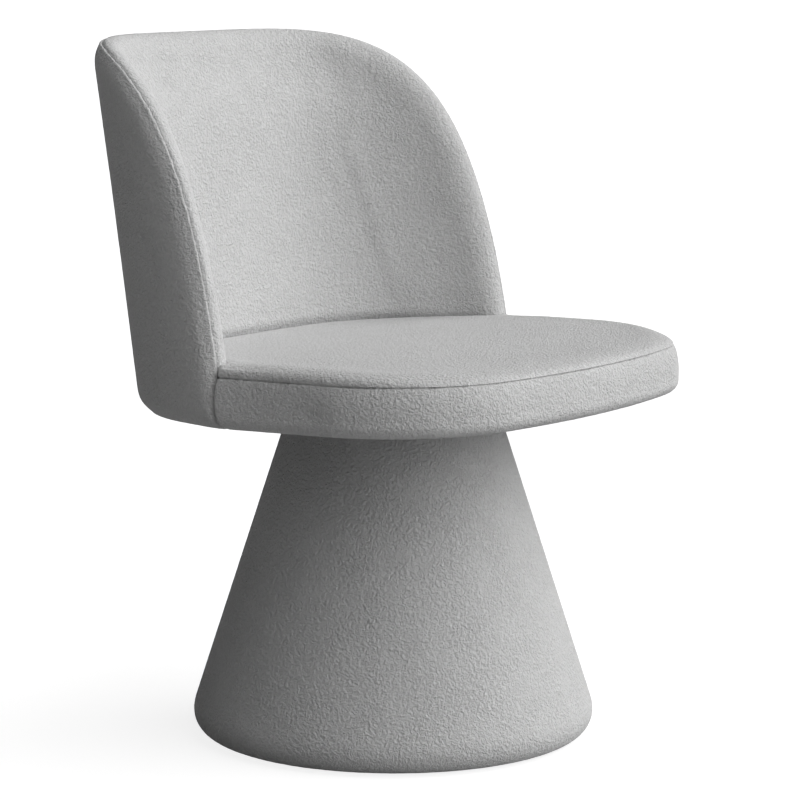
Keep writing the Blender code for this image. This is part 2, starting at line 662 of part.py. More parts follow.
def seat_crown(offset):
    """Rings of the seat's top from the seam over the rounded edge to the middle, drawn in by an offset."""
    rings = []
    rise = SEAT_EDGE_HEIGHT - offset - SEAT_SEAM_HEIGHT
    for share in ROUND_SHARES:
        turn = share * math.pi / 2
        inset = offset + (SEAT_TOP_ROUND - offset) * (1 - math.cos(turn))
        height = SEAT_SEAM_HEIGHT + rise * math.sin(turn)
        rings.append(seat_ring(height, inset, inset))
    middle = Vector((0, SEAT_CENTRE_Y, 0))
    spokes = [point - middle for point in rings[-1]]
    even = sum(spoke.to_2d().length for spoke in spokes) / len(spokes)
    for share in CROWN_SHARES:
        ring = []
        for spoke in spokes:
            reach = share * (share * spoke.to_2d().length + (1 - share) * even)
            spot = middle + spoke.to_2d().normalized().to_3d() * reach
            spot.z = SEAT_EDGE_HEIGHT - offset + SEAT_CROWN * (1 - share * share)
            ring.append(spot)
        rings.append(ring)
    return rings


def flat_layer(name, bottom, top, front_inset, rear_inset, finish, inner=None):
    """A sheet with the seat's outline; inner, if given, places the edge of a hole in it."""
    low = seat_ring(bottom, front_inset, rear_inset)
    high = seat_ring(top, front_inset, rear_inset)
    if inner is None:
        middle = Vector((0, SEAT_CENTRE_Y, 0))
        low_pole = [Vector((middle.x, middle.y, bottom))] * len(low)
        high_pole = [Vector((middle.x, middle.y, top))] * len(high)
        return loft(name, [low_pole, low, high, high_pole], finish, seat_unit)
    hole_low = [inner(point, bottom) for point in low]
    hole_high = [inner(point, top) for point in high]
    return loft(name, [low, high, hole_high, hole_low], finish, seat_unit, wrap=True, poles=False)


def rail_inside(point, height):
    spot = drawn_in(point, RAIL_WIDTH)
    return Vector((spot.x, spot.y, height))


def block_hole(point, height):
    turn = math.atan2(point.y - SEAT_CENTRE_Y, point.x)
    radius = SWIVEL_RADIUS + HEM_CLEARANCE
    return Vector((radius * math.cos(turn), radius * math.sin(turn), height))


def front_strip(name, profile, finish):
    """A strip round the exposed edge of the seat, from closed (inset, height) pairs."""
    sections = []
    for point in FRONT:
        section = []
        for inset, height in profile:
            spot = drawn_in(point, inset)
            section.append(Vector((spot.x, spot.y, height)))
        sections.append(section)
    return sweep(name, sections, finish, seat_unit)


def lower_round(offset):
    """(inset, height) pairs of the seat's rounded lower edge, drawn in by an offset."""
    middle = (SEAT_LOWER_ROUND, SEAT_LOWER_ROUND)
    return arc(middle, SEAT_LOWER_ROUND - offset, -math.pi / 2, -math.pi, BAND_STEPS)


def build_seat():
    core = FABRIC + SEAT_EDGE_FOAM + 2 * GAP
    flat_layer("seat_dust_cover", 0.0, DUST_COVER, BAND_LIP + GAP, 0.0, LINING, block_hole)
    rail = flat_layer("seat_frame", RAIL_BOTTOM, RAIL_BOTTOM + RAIL_HEIGHT, core, 0.0, PLYWOOD, rail_inside)
    board = flat_layer("seat_board", SEAT_BOARD_BOTTOM, SEAT_BOARD_TOP, core, 0.0, PLYWOOD)
    lining = FABRIC + GAP
    swell = SEAT_SEAM_HEIGHT - 2 * SEAM_DIP
    seam = SEAT_SEAM_HEIGHT - GAP
    seam_edge = [(0, swell), (SEAM_DIP, seam), (SEAM_DIP + FABRIC, seam), (FABRIC, swell)]
    band = [(BAND_LIP, 0)] + lower_round(0) + seam_edge + lower_round(FABRIC)[::-1] + [(BAND_LIP, FABRIC)]
    front_strip("seat_band", band, PILE)
    foam_top = [(lining, SEAT_BOARD_TOP), (core - GAP, SEAT_BOARD_TOP)]
    edge = [(core - GAP, lining)] + lower_round(lining)[1:] + foam_top
    front_strip("seat_edge_foam", edge, FOAM)
    build_cushion(lining)
    return rail, board


def build_cushion(lining):
    dip = SEAM_DIP + GAP
    panel_edge = [seat_ring(SEAT_SEAM_HEIGHT, SEAM_DIP, SEAM_DIP)]
    panel_lining = [seat_ring(SEAT_SEAM_HEIGHT, SEAM_DIP + FABRIC, SEAM_DIP + FABRIC)]
    panel = seat_crown(0)[::-1] + panel_edge + panel_lining + seat_crown(FABRIC)
    loft("seat_top_panel", panel, PILE, seat_unit)
    bottom = SEAT_BOARD_TOP + GAP
    middle = [Vector((0, SEAT_CENTRE_Y, bottom))] * len(panel_edge[0])
    swell = SEAT_SEAM_HEIGHT - 2 * SEAM_DIP
    sides = [seat_ring(bottom, lining, 0.0), seat_ring(swell, lining, 0.0),
             seat_ring(SEAT_SEAM_HEIGHT - GAP, lining + dip, lining + dip)]
    loft("seat_foam", [middle] + sides + seat_crown(lining), FOAM, seat_unit)


def build_seat_mount(upper_plate, board):
    """The block between the bearing and the seat board, with its bolts."""
    bm = bmesh.new()
    bottom = SWIVEL_TOP + GAP
    top = SEAT_UNDERSIDE + SEAT_BOARD_TOP
    bmesh.ops.create_cone(bm, cap_ends=True, segments=ROUND_STEPS, radius1=SWIVEL_RADIUS,
                          radius2=SWIVEL_RADIUS, depth=top - bottom,
                          matrix=Matrix.Translation((0, 0, (top + bottom) / 2)))
    level = SEAT_TO_WORLD @ Vector((0, 0, SEAT_BOARD_BOTTOM - GAP))
    upward = SEAT_TO_WORLD.to_3x3() @ Vector((0, 0, 1))
    whole = bm.verts[:] + bm.edges[:] + bm.faces[:]
    bmesh.ops.bisect_plane(bm, geom=whole, plane_co=level, plane_no=upward, clear_outer=True)
    bmesh.ops.holes_fill(bm, edges=[edge for edge in bm.edges if edge.is_boundary])
    block = mesh_object("seat_block", bm, PLYWOOD)
    pocket = drill("block_pocket", RIVET_POCKET_RADIUS, RIVET_HEAD_HEIGHT + 3 * GAP, GAP,
                   [Matrix.Translation((0, 0, bottom))], steps=ROUND_STEPS)
    cut(block, pocket)
    reach = SEAT_UNDERSIDE + SEAT_BOARD_BOTTOM + SEAT_BOARD_THICKNESS / 2 - SWIVEL_UPPER_BOTTOM
    start = math.pi / SWIVEL_BOLTS
    places = circle_places(SWIVEL_BOLT_CIRCLE, SWIVEL_UPPER_BOTTOM - GAP, SWIVEL_BOLTS, start, flip=True)
    copies("swivel_upper_bolt", bolt_profile(SWIVEL_BOLT_RADIUS, reach), places, STEEL)
    holes = drill("swivel_upper_holes", SWIVEL_BOLT_RADIUS + GAP, GAP, reach + 2 * GAP, places)
    for target in (upper_plate, block, board):
        cut(target, holes)


def build_back_bolts(rail, inner_cover, inner_foam, shell):
    """Bolts through the seat rail, the inner cover and the foam into the shell of the back."""
    places = []
    for angle in BACK_BOLT_ANGLES:
        inward = back_normal(angle, BACK_BOLT_HEIGHT)
        inward.z = 0
        inward.normalize()
        face = back_surface(angle, BACK_BOLT_HEIGHT) + inward * BACK_WALL
        turn = inward.to_track_quat("Z", "Y").to_matrix().to_4x4()
        places.append(Matrix.Translation(face + inward * (BACK_BOLT_SEAT + SEAT_TO_BACK + GAP)) @ turn)
    reach = BACK_BOLT_SEAT + SEAT_TO_BACK + BACK_WALL - SHELL_START - BACK_SHELL / 4
    copies("back_bolt", bolt_profile(BACK_BOLT_RADIUS, reach), places, STEEL, seat_unit)
    bores = drill("back_bolt_bores", BACK_BOLT_RADIUS + GAP, GAP, reach + GAP, places, seat_unit)
    for target in (rail, inner_cover, inner_foam, shell):
        cut(target, bores)
    sink = BACK_BOLT_RADIUS * BOLT_HEAD_RATIO + GAP
    cut(rail, drill("back_bolt_sinks", sink, RAIL_WIDTH, GAP, places, seat_unit))


ballast_plate, base_board, swivel_board = build_base()
build_column(ballast_plate, base_board, swivel_board)
upper_plate = build_swivel(swivel_board)
back_pieces = build_back()
seat_rail, seat_board = build_seat()
build_seat_mount(upper_plate, seat_board)
build_back_bolts(seat_rail, *back_pieces)

for cutter in cutters.objects:
    cutter.hide_render = True
    cutter.display_type = "WIRE"
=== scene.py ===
# %% [markdown]
# An upholstered swivel dining chair, dressed for a studio picture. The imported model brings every
# board, bolt, ball and foam block in its place. This script adds the look: the curly grey pile that
# covers the back, the seat and the cone, the sewn seams, the finishes inside, the light and the camera.

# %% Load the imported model
import json
import math

import bmesh
import bpy
import numpy as np
from mathutils import Matrix, Vector, noise


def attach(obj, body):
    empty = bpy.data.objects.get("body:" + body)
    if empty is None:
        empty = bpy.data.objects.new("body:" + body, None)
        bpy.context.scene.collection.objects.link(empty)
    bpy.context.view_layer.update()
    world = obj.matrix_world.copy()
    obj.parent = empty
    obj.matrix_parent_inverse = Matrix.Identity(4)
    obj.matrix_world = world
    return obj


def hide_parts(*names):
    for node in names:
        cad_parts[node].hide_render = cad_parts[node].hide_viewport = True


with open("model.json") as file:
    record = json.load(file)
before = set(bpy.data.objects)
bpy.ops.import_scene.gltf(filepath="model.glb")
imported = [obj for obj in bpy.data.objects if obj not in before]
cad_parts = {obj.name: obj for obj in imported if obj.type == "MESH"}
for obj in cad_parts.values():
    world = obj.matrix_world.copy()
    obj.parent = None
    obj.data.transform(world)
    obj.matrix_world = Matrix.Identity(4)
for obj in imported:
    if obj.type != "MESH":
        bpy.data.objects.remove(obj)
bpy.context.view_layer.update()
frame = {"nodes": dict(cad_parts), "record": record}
scene = bpy.context.scene

# %% [markdown]
# The camera stands to the sitter's right, about 55 degrees round from the front, and a little higher than
# the top of the back. It has a long lens, so that the cone stays upright and the back shows both its
# faces. The distance and the lens were worked out from the chair's outline. A small shift moves the
# picture sideways without turning the chair.

# %% Camera
CAMERA_TURN = math.radians(-55.508)
CAMERA_RANGE = 3.7312
CAMERA_HEIGHT = 0.9275
CAMERA_AIM = Vector((0, 0, 0.3858))
CAMERA_LENS, CAMERA_SENSOR = 148.57, 36
CAMERA_SHIFT = 0.0076
CAMERA_ROLL = 0.0023

camera = bpy.data.objects.new("camera", bpy.data.cameras.new("camera"))
scene.collection.objects.link(camera)
camera.location.x = CAMERA_RANGE * math.sin(CAMERA_TURN)
camera.location.y = -CAMERA_RANGE * math.cos(CAMERA_TURN)
camera.location.z = CAMERA_HEIGHT
aim = (CAMERA_AIM - camera.location).to_track_quat("-Z", "Y").to_matrix().to_4x4()
camera.rotation_euler = (aim @ Matrix.Rotation(CAMERA_ROLL, 4, "Z")).to_euler()
camera.data.sensor_width = CAMERA_SENSOR
camera.data.lens = CAMERA_LENS
camera.data.shift_x = CAMERA_SHIFT
scene.camera = camera
scene.view_settings.view_transform = "Standard"
print("camera at", [round(x, 3) for x in camera.location])

# %% [markdown]
# One wide soft lamp stands far in front of the chair and above it. A weaker one on the camera's right
# brightens the sides that turn that way, and a faint sky and a weak third lamp fill the shaded side. Far
# lamps light the floor evenly. To the camera, and in reflections, floor and sky are white, but they light
# the chair only as a grey room would, so the shaded side keeps its depth.

# %% Lamps and sky
SKY_LIGHT = 0.035
LAMPS = (("key_lamp", Vector((0.22, -0.76, 0.61)), 3.42, math.radians(95)),
         ("side_lamp", Vector((0.88, -0.40, 0.28)), 0.90, math.radians(60)),
         ("fill_lamp", Vector((-0.62, 0.48, 0.45)), 0.08, math.radians(35)))


def grey(value):
    return (value, value, value, 1)


def feed(node, values):
    """Gives the named sockets of a node plain values, or links them to the outputs of other nodes."""
    for title, value in values.items():
        if isinstance(value, bpy.types.NodeSocket):
            node.id_data.links.new(value, node.inputs[title])
        else:
            node.inputs[title].default_value = value


def math_node(tree, operation, *values, clamp=False):
    made = tree.nodes.new("ShaderNodeMath")
    made.operation = operation
    made.use_clamp = clamp
    feed(made, dict(enumerate(values)))
    return made.outputs[0]


def seen_directly(tree):
    """A mask that is 1 where the camera, a reflection or glass looks at the surface."""
    rays = tree.nodes.new("ShaderNodeLightPath").outputs
    either = math_node(tree, "MAXIMUM", rays["Is Camera Ray"], rays["Is Glossy Ray"])
    return math_node(tree, "MAXIMUM", either, rays["Is Transmission Ray"])


def far_lamp(name, come_from, strength, spread_angle):
    lamp = bpy.data.objects.new(name, bpy.data.lights.new(name, "SUN"))
    lamp.data.energy = strength
    lamp.data.angle = spread_angle
    lamp.rotation_euler = (-come_from).to_track_quat("-Z", "Y").to_euler()
    scene.collection.objects.link(lamp)


sky = bpy.data.worlds.new("studio_sky")
sky.use_nodes = True
sky_strength = sky.node_tree.nodes.new("ShaderNodeMapRange")
feed(sky_strength, {"Value": seen_directly(sky.node_tree), "To Min": SKY_LIGHT, "To Max": 1.0})
feed(sky.node_tree.nodes["Background"], {"Color": grey(1), "Strength": sky_strength.outputs["Result"]})
scene.world = sky
for lamp_values in LAMPS:
    far_lamp(*lamp_values)
print("lamps", len(LAMPS), "sky", SKY_LIGHT)

# %% Floor
FLOOR_SIZE = 40
FLOOR_GREY = 0.36
FLOOR_GLOW = 0.84


def new_material(name):
    made = bpy.data.materials.new(name)
    made.use_nodes = True
    return made, made.node_tree, made.node_tree.nodes["Principled BSDF"]


def colour_mix(tree, factor, first, second):
    made = tree.nodes.new("ShaderNodeMix")
    made.data_type = "RGBA"
    feed(made, {"Factor": factor, 6: first, 7: second})
    return made.outputs[2]


def object_from(name, bm, finish):
    """Turns a bmesh into an object of the scene with one finish."""
    mesh = bpy.data.meshes.new(name)
    bm.to_mesh(mesh)
    bm.free()
    mesh.materials.append(finish)
    made = bpy.data.objects.new(name, mesh)
    scene.collection.objects.link(made)
    return made


floor_paint, floor_tree, floor_shader = new_material("studio_floor_paint")
floor_glow = colour_mix(floor_tree, seen_directly(floor_tree), grey(0), grey(1))
feed(floor_shader, {"Base Color": grey(FLOOR_GREY), "Roughness": 1.0, "Specular IOR Level": 0.0,
                    "Emission Color": floor_glow, "Emission Strength": FLOOR_GLOW})
floor_bm = bmesh.new()
bmesh.ops.create_grid(floor_bm, x_segments=1, y_segments=1, size=FLOOR_SIZE)
floor = object_from("studio_floor", floor_bm, floor_paint)
print("floor of", 2 * FLOOR_SIZE, "m")

# %% [markdown]
# The cover fabric is a dense grey pile of short curls. Up close it is a field of small rounded tufts,
# three to four millimetres apart. The hollows between them are painted a little darker: painted shade
# among the tufts. Noise that is warped by more noise gives the curls, and a cell pattern gives the tufts.
# A slow noise makes some patches livelier than others. The pattern is a node group, used by every cover.
# It reads Object coordinates, so the pile runs evenly over every curve and needs no unwrapping.

# %% The pile as a node group
COLOUR, NUMBER = "NodeSocketColor", "NodeSocketFloat"
CURL_SHARE, TUFT_SHARE = 0.6, 0.4
PATCH_SCALE = 28.0


def new_group(name, inputs, outputs):
    """A node group with its sockets; gives what comes in, where results go and the Object coordinates."""
    tree = bpy.data.node_groups.new(name, "ShaderNodeTree")
    for title, value in inputs.items():
        kind = COLOUR if isinstance(value, tuple) else NUMBER
        tree.interface.new_socket(name=title, in_out="INPUT", socket_type=kind).default_value = value
    for title, kind in outputs.items():
        tree.interface.new_socket(name=title, in_out="OUTPUT", socket_type=kind)
    given = tree.nodes.new("NodeGroupInput").outputs
    result = tree.nodes.new("NodeGroupOutput")
    return tree, given, result, tree.nodes.new("ShaderNodeTexCoord").outputs["Object"]


def noise_node(tree, vector, scale, detail=2.0, roughness=0.5, distortion=0.0):
    made = tree.nodes.new("ShaderNodeTexNoise")
    feed(made, {"Vector": vector, "Scale": scale, "Detail": detail, "Roughness": roughness,
                "Distortion": distortion})
    return made.outputs["Fac"]


def spread(tree, value, low, high):
    """Stretches a value so that low becomes 0 and high becomes 1."""
    made = tree.nodes.new("ShaderNodeMapRange")
    feed(made, {"Value": value, "From Min": low, "From Max": high})
    return made.outputs["Result"]


def weighted_sum(tree, first, first_share, second, second_share):
    return math_node(tree, "ADD", math_node(tree, "MULTIPLY", first, first_share),
                     math_node(tree, "MULTIPLY", second, second_share))


def make_pile_group():
    tree, given, result, place = new_group(
        "curly_pile", {"Tips": grey(0.62), "Shaded Hollows": grey(0.45), "Curl Scale": 240.0},
        {"Color": COLOUR, "Height": NUMBER})
    curl = noise_node(tree, place, given["Curl Scale"], roughness=0.45, distortion=1.0)
    tuft = tree.nodes.new("ShaderNodeTexVoronoi")
    tuft.feature = "SMOOTH_F1"
    feed(tuft, {"Vector": place, "Scale": given["Curl Scale"], "Smoothness": 0.6, "Randomness": 1.0})
    crown = math_node(tree, "SUBTRACT", 1.0, tuft.outputs["Distance"], clamp=True)
    height = weighted_sum(tree, spread(tree, curl, 0.32, 0.68), CURL_SHARE, crown, TUFT_SHARE)
    lively = math_node(tree, "ADD", noise_node(tree, place, PATCH_SCALE), 0.5)
    # Painted shade: the colour darkens from the tips towards the hollows, following the curl height.
    shade = colour_mix(tree, spread(tree, height, 0.25, 0.75), given["Shaded Hollows"], given["Tips"])
    feed(result, {"Color": shade, "Height": math_node(tree, "MULTIPLY", height, lively)})
    return tree


pile_group = make_pile_group()
print("pile group", len(pile_group.nodes), "nodes")

# %% [markdown]
# The pile's material is matt. A little sheen stands for the fibre ends that catch light at grazing
# angles, and a bump from the group's height gives the curls their own small shadows.

# %% Grey pile material
# The darker colour of the hollows is painted shade between the tufts.
PILE_TIPS, PILE_SHADED_HOLLOWS = grey(0.59), grey(0.54)
CURL_SCALE = 280.0
CURL_RELIEF, CURL_STRENGTH = 0.0026, 0.80


def place_group(tree, group, values):
    """Puts a node group into a material, with the material's own values."""
    made = tree.nodes.new("ShaderNodeGroup")
    made.node_tree = group
    feed(made, values)
    return made.outputs


def bump_node(tree, height, distance, strength):
    made = tree.nodes.new("ShaderNodeBump")
    feed(made, {"Height": height, "Distance": distance, "Strength": strength})
    return made.outputs["Normal"]


pile, pile_tree, pile_shader = new_material("grey_pile")
curls = place_group(pile_tree, pile_group,
                    {"Tips": PILE_TIPS, "Shaded Hollows": PILE_SHADED_HOLLOWS, "Curl Scale": CURL_SCALE})
feed(pile_shader, {"Base Color": curls["Color"], "Roughness": 0.95, "Specular IOR Level": 0.15,
                   "Sheen Weight": 0.15, "Sheen Roughness": 0.5,
                   "Normal": bump_node(pile_tree, curls["Height"], CURL_RELIEF, CURL_STRENGTH)})
print("pile material ready")

# %% [markdown]
# The seat and the back tilt together by a degree and a half. It is easier to model them level, in the
# seat's own frame, and to tip the finished mesh. In that frame the back is a barrel: a rounded rectangle
# in plan that gets deeper and leans back with height, cut off along an arch. One formula gives any point of
# its outer face from an angle and a height, and the inner face lies one wall thickness inside it.

# %% The barrel of the back
SEAT_UNDERSIDE = 0.386
SEAT_PITCH = math.radians(1.54)
SEAT_TO_WORLD = Matrix.Translation((0, 0, SEAT_UNDERSIDE)) @ Matrix.Rotation(-SEAT_PITCH, 4, "X")
BACK_HALF_WIDTH, BACK_WIDTH_SLOPE = 0.3046, -0.0129
BACK_DEPTH, BACK_DEPTH_SLOPE = 0.3445, 0.0459
BACK_CENTRE_Y, BACK_LEAN = -0.1027, 0.0997
BACK_SQUARENESS = 3.05
BACK_HEIGHT = 0.4182
BACK_WALL = 0.054
WING_ANGLE = 1.172


def barrel(angle, height):
    """Points of the back's outer face, one row for each angle and height."""
    across, along = np.sin(angle), np.cos(angle)
    half_width = BACK_HALF_WIDTH + BACK_WIDTH_SLOPE * height
    depth = BACK_DEPTH + BACK_DEPTH_SLOPE * height
    power = BACK_SQUARENESS
    reach = ((np.abs(across) / half_width) ** power + (np.abs(along) / depth) ** power) ** (-1 / power)
    return np.stack([reach * across, BACK_CENTRE_Y + BACK_LEAN * height + reach * along, height], axis=-1)


def barrel_inward(angle, height):
    """Unit vectors from the outer face towards the sitter."""
    step = 1e-4
    around = barrel(angle + step, height) - barrel(angle - step, height)
    upward = barrel(angle, height + step) - barrel(angle, height - step)
    across = np.cross(around, upward)
    across /= np.linalg.norm(across, axis=-1, keepdims=True)
    outward = np.stack([np.sin(angle), np.cos(angle), 0 * angle], axis=-1)
    return across * -np.sign((across * outward).sum(axis=-1, keepdims=True))


def under_face(angle, height, depth):
    return barrel(angle, height) + barrel_inward(angle, height) * np.asarray(depth)[..., None]


widest = barrel(np.array([math.pi / 2]), np.array([0.0]))[0]
print("half width of the back", round(float(widest[0]), 4))

# %% [markdown]
# The back's edge runs up one wing, over the top and down the other wing, then along the hem. Its arch is
# a rounded box in the plane of angle and height. The points are spread evenly along its length, because
# an even angle would bunch them at the corners. Towards the arch the padding gets thinner, by about a
# third, as it does where a cover is pulled over the edge of a shell.

# %% The edge of the back
RIM_SIDE_POWER, RIM_TOP_POWER = 5.24, 2.29
WING_SHARE = 0.25
SPINE_ANGLE, SPINE_HEIGHT = 0.75, 0.17
FAN_SHARE = 7 / 26
RIM_OUTER_ROUND, RIM_INNER_ROUND = 0.0250, 0.0280
HEM_OUTER_ROUND, HEM_INNER_ROUND = 0.026, 0.012
HEM_BLEND = 0.16
RIM_THIN, RIM_THIN_LENGTH = 0.32, 0.15
ARCH_POINTS = 4001
TINY = 1e-6

arch_turn = np.linspace(0, math.pi, ARCH_POINTS)
arch_side = np.cos(arch_turn)
arch_angle = WING_ANGLE * np.sign(arch_side) * np.abs(arch_side) ** (2 / RIM_SIDE_POWER)
arch_height = BACK_HEIGHT * np.abs(np.sin(arch_turn)) ** (2 / RIM_TOP_POWER)
arch_steps = np.linalg.norm(np.diff(barrel(arch_angle, arch_height), axis=0), axis=1)
arch_run = np.concatenate([[0.0], np.cumsum(arch_steps)])
arch_run /= arch_run[-1]


def smooth_step(value):
    value = np.clip(value, 0, 1)
    return value * value * (3 - 2 * value)


def wall_share(inset):
    """The padding's share of the full wall at an inset from the edge."""
    return 1 - RIM_THIN * (1 - smooth_step(inset / RIM_THIN_LENGTH))


def edge_of_back(u, w):
    """Where the border point (u, w) of a square meets the back's edge.

    Gives its angle and height, the angle of the spine opposite, the two radii and the hem's share."""
    on_hem = w <= -1 + TINY
    over_top = WING_SHARE + (0.5 - WING_SHARE) * (1 - np.abs(u))
    share = np.where(np.abs(u) >= 1 - TINY, WING_SHARE * (w + 1) / 2, over_top)
    share = np.where(u >= 0, share, 1 - share)
    angle = np.where(on_hem, WING_ANGLE * u, np.interp(share, arch_run, arch_angle))
    height = np.where(on_hem, 0.0, np.interp(share, arch_run, arch_height))
    along = np.clip((share - FAN_SHARE) / (1 - 2 * FAN_SHARE), 0, 1)
    spine = np.where(on_hem, np.clip(angle, -SPINE_ANGLE, SPINE_ANGLE), SPINE_ANGLE * (1 - 2 * along))
    hem = np.where(on_hem, smooth_step((WING_ANGLE - np.abs(angle)) / HEM_BLEND), 0.0)
    outer = RIM_OUTER_ROUND + (HEM_OUTER_ROUND - RIM_OUTER_ROUND) * hem
    inner = RIM_INNER_ROUND + (HEM_INNER_ROUND - RIM_INNER_ROUND) * hem
    return angle, height, spine, outer, inner, hem


def from_edge(edge, inset):
    """Angle and height at a distance from the edge, along the line to the middle of the panel."""
    angle, height, spine = edge[:3]
    chord = barrel(angle, height) - barrel(spine, SPINE_HEIGHT + 0 * height)
    share = inset / np.linalg.norm(chord, axis=-1)
    return angle + (spine - angle) * share, height + (SPINE_HEIGHT - height) * share


print("arch length", round(float(arch_steps.sum()), 3), "m")

# %% [markdown]
# The cover of the back is two panels, outer and inner, sewn together along the edge. The stitched seam
# sits just outside the crest of the rounded edge: a low ridge, where the outer panel is folded in, and a
# groove beside it. Each panel starts as a flat grid, and the border of the outer one is extruded row by
# row over the edge, down into the seam and out again, until it meets the inner one. All of that happens
# in a plain square, with the row number as height. Only then does every point move to its place on the
# barrel, so the topology stays simple.

# %% Rows over the edge of the back
EDGE_STRIP = 0.036
ROUND_SHARES = (0.0, 1 / 3, 2 / 3)
INNER_ROWS = 9
RIM_SEAM_ANGLE = math.radians(69)
SEAM_STEPS = (-0.0085, -0.0062, -0.0044, -0.0026, -0.0010, 0.0002, 0.0014, 0.0034, 0.0062)
SEAM_SINK = (0.0, -0.0004, -0.0011, -0.0014, -0.0008, 0.0026, 0.0014, 0.0004, 0.0)
BACK_SEAM_ROW = 2 + len(ROUND_SHARES) + SEAM_SINK.index(max(SEAM_SINK))


def on_round(outer, turn, sink=0.0):
    """(depth, inset) on the edge's outer round at a turn, sunk towards its centre."""
    radius = outer - sink
    return outer - radius * np.cos(turn), outer - radius * np.sin(turn)


def back_edge_rows(outer, inner):
    """(depth, inset) of each row over the edge, from the outer face to the inner one."""
    seam_start = RIM_SEAM_ANGLE + SEAM_STEPS[0] / outer
    seam_end = RIM_SEAM_ANGLE + SEAM_STEPS[-1] / outer
    rows = [(0 * outer, (EDGE_STRIP + outer) / 2)]
    rows += [on_round(outer, seam_start * share) for share in ROUND_SHARES]
    for step, sink in zip(SEAM_STEPS, SEAM_SINK):
        rows.append(on_round(outer, RIM_SEAM_ANGLE + step / outer, sink))
    rows += [on_round(outer, seam_end + (math.pi / 2 - seam_end) * share) for share in (0.5, 1.0)]
    for share in np.linspace(0, 1, INNER_ROWS):
        turn = math.pi / 2 * (1 - share)
        rows.append((BACK_WALL - inner + inner * np.cos(turn), inner - inner * np.sin(turn)))
    return rows


back_row_count = len(back_edge_rows(RIM_OUTER_ROUND, RIM_INNER_ROUND))
print("rows over the edge", back_row_count, "seam at row", BACK_SEAM_ROW)

# %% [markdown]
# Where the seat's top touches the back, the inner panel is pressed in below that line. So the padding
# rolls out a little over the seat, which gives a thin dark crease between the two.

# %% Sewn skin of the back
BACK_CELLS = (144, 50)
MERGE_GAP = 1e-4
CONTACT_HEIGHT, CONTACT_FALL = 0.0675, 0.035
ROLL_HEIGHT, ROLL_DEPTH = 0.009, 0.0055


def square_border(u, w):
    """The point of the unit square's border in the direction of (u, w), and how far out (u, w) lies."""
    ring = np.maximum(np.maximum(np.abs(u), np.abs(w)), 1e-9)
    return u / ring, w / ring, ring


def place_back(flat):
    """Moves the flat skin, with its row number as height, onto the barrel."""
    u, w, row = flat.T
    border_u, border_w, ring = square_border(u, w)
    edge = edge_of_back(border_u, border_w)
    outer, inner, hem = edge[3:]
    strip_angle, strip_height = from_edge(edge, EDGE_STRIP)
    angle = strip_angle * ring
    height = SPINE_HEIGHT + (strip_height - SPINE_HEIGHT) * ring
    depth = np.where(row < 0.5, 0.0, BACK_WALL)
    middle = barrel(0 * angle, SPINE_HEIGHT + 0 * height)
    from_rim = EDGE_STRIP + (1 - ring) * np.linalg.norm(barrel(strip_angle, strip_height) - middle, axis=-1)
    for number, (row_depth, inset) in enumerate(back_edge_rows(outer, inner), 1):
        here = np.abs(row - number) < 0.5
        row_angle, row_height = from_edge(edge, inset)
        angle[here], height[here], depth[here] = row_angle[here], row_height[here], row_depth[here]
        from_rim[here] = inset[here]
    depth *= 1 - (1 - wall_share(from_rim)) * (1 - hem)
    contact = CONTACT_HEIGHT - CONTACT_FALL * barrel(angle, height)[:, 1]
    rolled = 1 - smooth_step((height - contact) / ROLL_HEIGHT)
    depth -= ROLL_DEPTH * rolled * smooth_step((depth - BACK_WALL / 2) / (BACK_WALL / 2))
    return under_face(angle, height, depth)


def grow_rows(bm, count):
    """Extrudes the open border row by row; each new loop gets its row number as height."""
    border = [edge for edge in bm.edges if edge.is_boundary]
    for row in range(1, count + 1):
        made = bmesh.ops.extrude_edge_only(bm, edges=border)["geom"]
        for vert in (part for part in made if isinstance(part, bmesh.types.BMVert)):
            vert.co.z = row
        border = [part for part in made if isinstance(part, bmesh.types.BMEdge) and part.is_boundary]


def finish_skin(name, bm, placed):
    """Puts every point in its place and makes the object, with the pile on it."""
    for vert, spot in zip(bm.verts, placed):
        vert.co = spot
    bmesh.ops.recalc_face_normals(bm, faces=bm.faces)
    made = object_from(name, bm, pile)
    mesh = made.data
    mesh.polygons.foreach_set("use_smooth", [True] * len(mesh.polygons))
    print(name, len(mesh.vertices), "points", len(mesh.polygons), "faces")
    return made


def flat_points(bm):
    return np.array([vert.co[:] for vert in bm.verts])


back_bm = bmesh.new()
bmesh.ops.create_grid(back_bm, x_segments=BACK_CELLS[0], y_segments=BACK_CELLS[1], size=1)
grow_rows(back_bm, back_row_count + 1)
bmesh.ops.create_grid(back_bm, x_segments=BACK_CELLS[0], y_segments=BACK_CELLS[1], size=1,
                      matrix=Matrix.Translation((0, 0, back_row_count + 1)))
bmesh.ops.remove_doubles(back_bm, verts=back_bm.verts, dist=MERGE_GAP)
back_flat = flat_points(back_bm)
back_skin = finish_skin("back_upholstery", back_bm, place_back(back_flat))
back_skin.data.transform(SEAT_TO_WORLD)

# %% [markdown]
# The seat is a box cushion: a crowned top panel sewn to an upright band that goes round the front and the
# sides. In plan it is as wide as the chair in front of the wings and narrower between them, so its grid
# is a square with the two rear corners cut away. The border of that grid follows the outline, and the
# inside is filled between its four sides, which keeps the squares even right up to the rounded corners.

# %% Outline of the seat
SEAT_TO_BACK = 0.0012
SEAT_SHOULDER_GAP = 0.0012
SEAT_HALF_WIDTH = 0.300
SEAT_FRONT, SEAT_FRONT_BOW = 0.284, 0.91
SEAT_CORNER, SEAT_SIDE_TAPER = 0.161, 0.02
SEAT_CELLS = (96, 80)
WING_CELLS = 9
SHOULDER_ROW = 50
SHOULDER_W = -1 + 2 * SHOULDER_ROW / SEAT_CELLS[1]
INNER_U = 1 - 2 * WING_CELLS / SEAT_CELLS[0]
FRONT_SPLIT = 0.5
REAR_SPLIT = 0.42
OUTER_FILL = 0.003


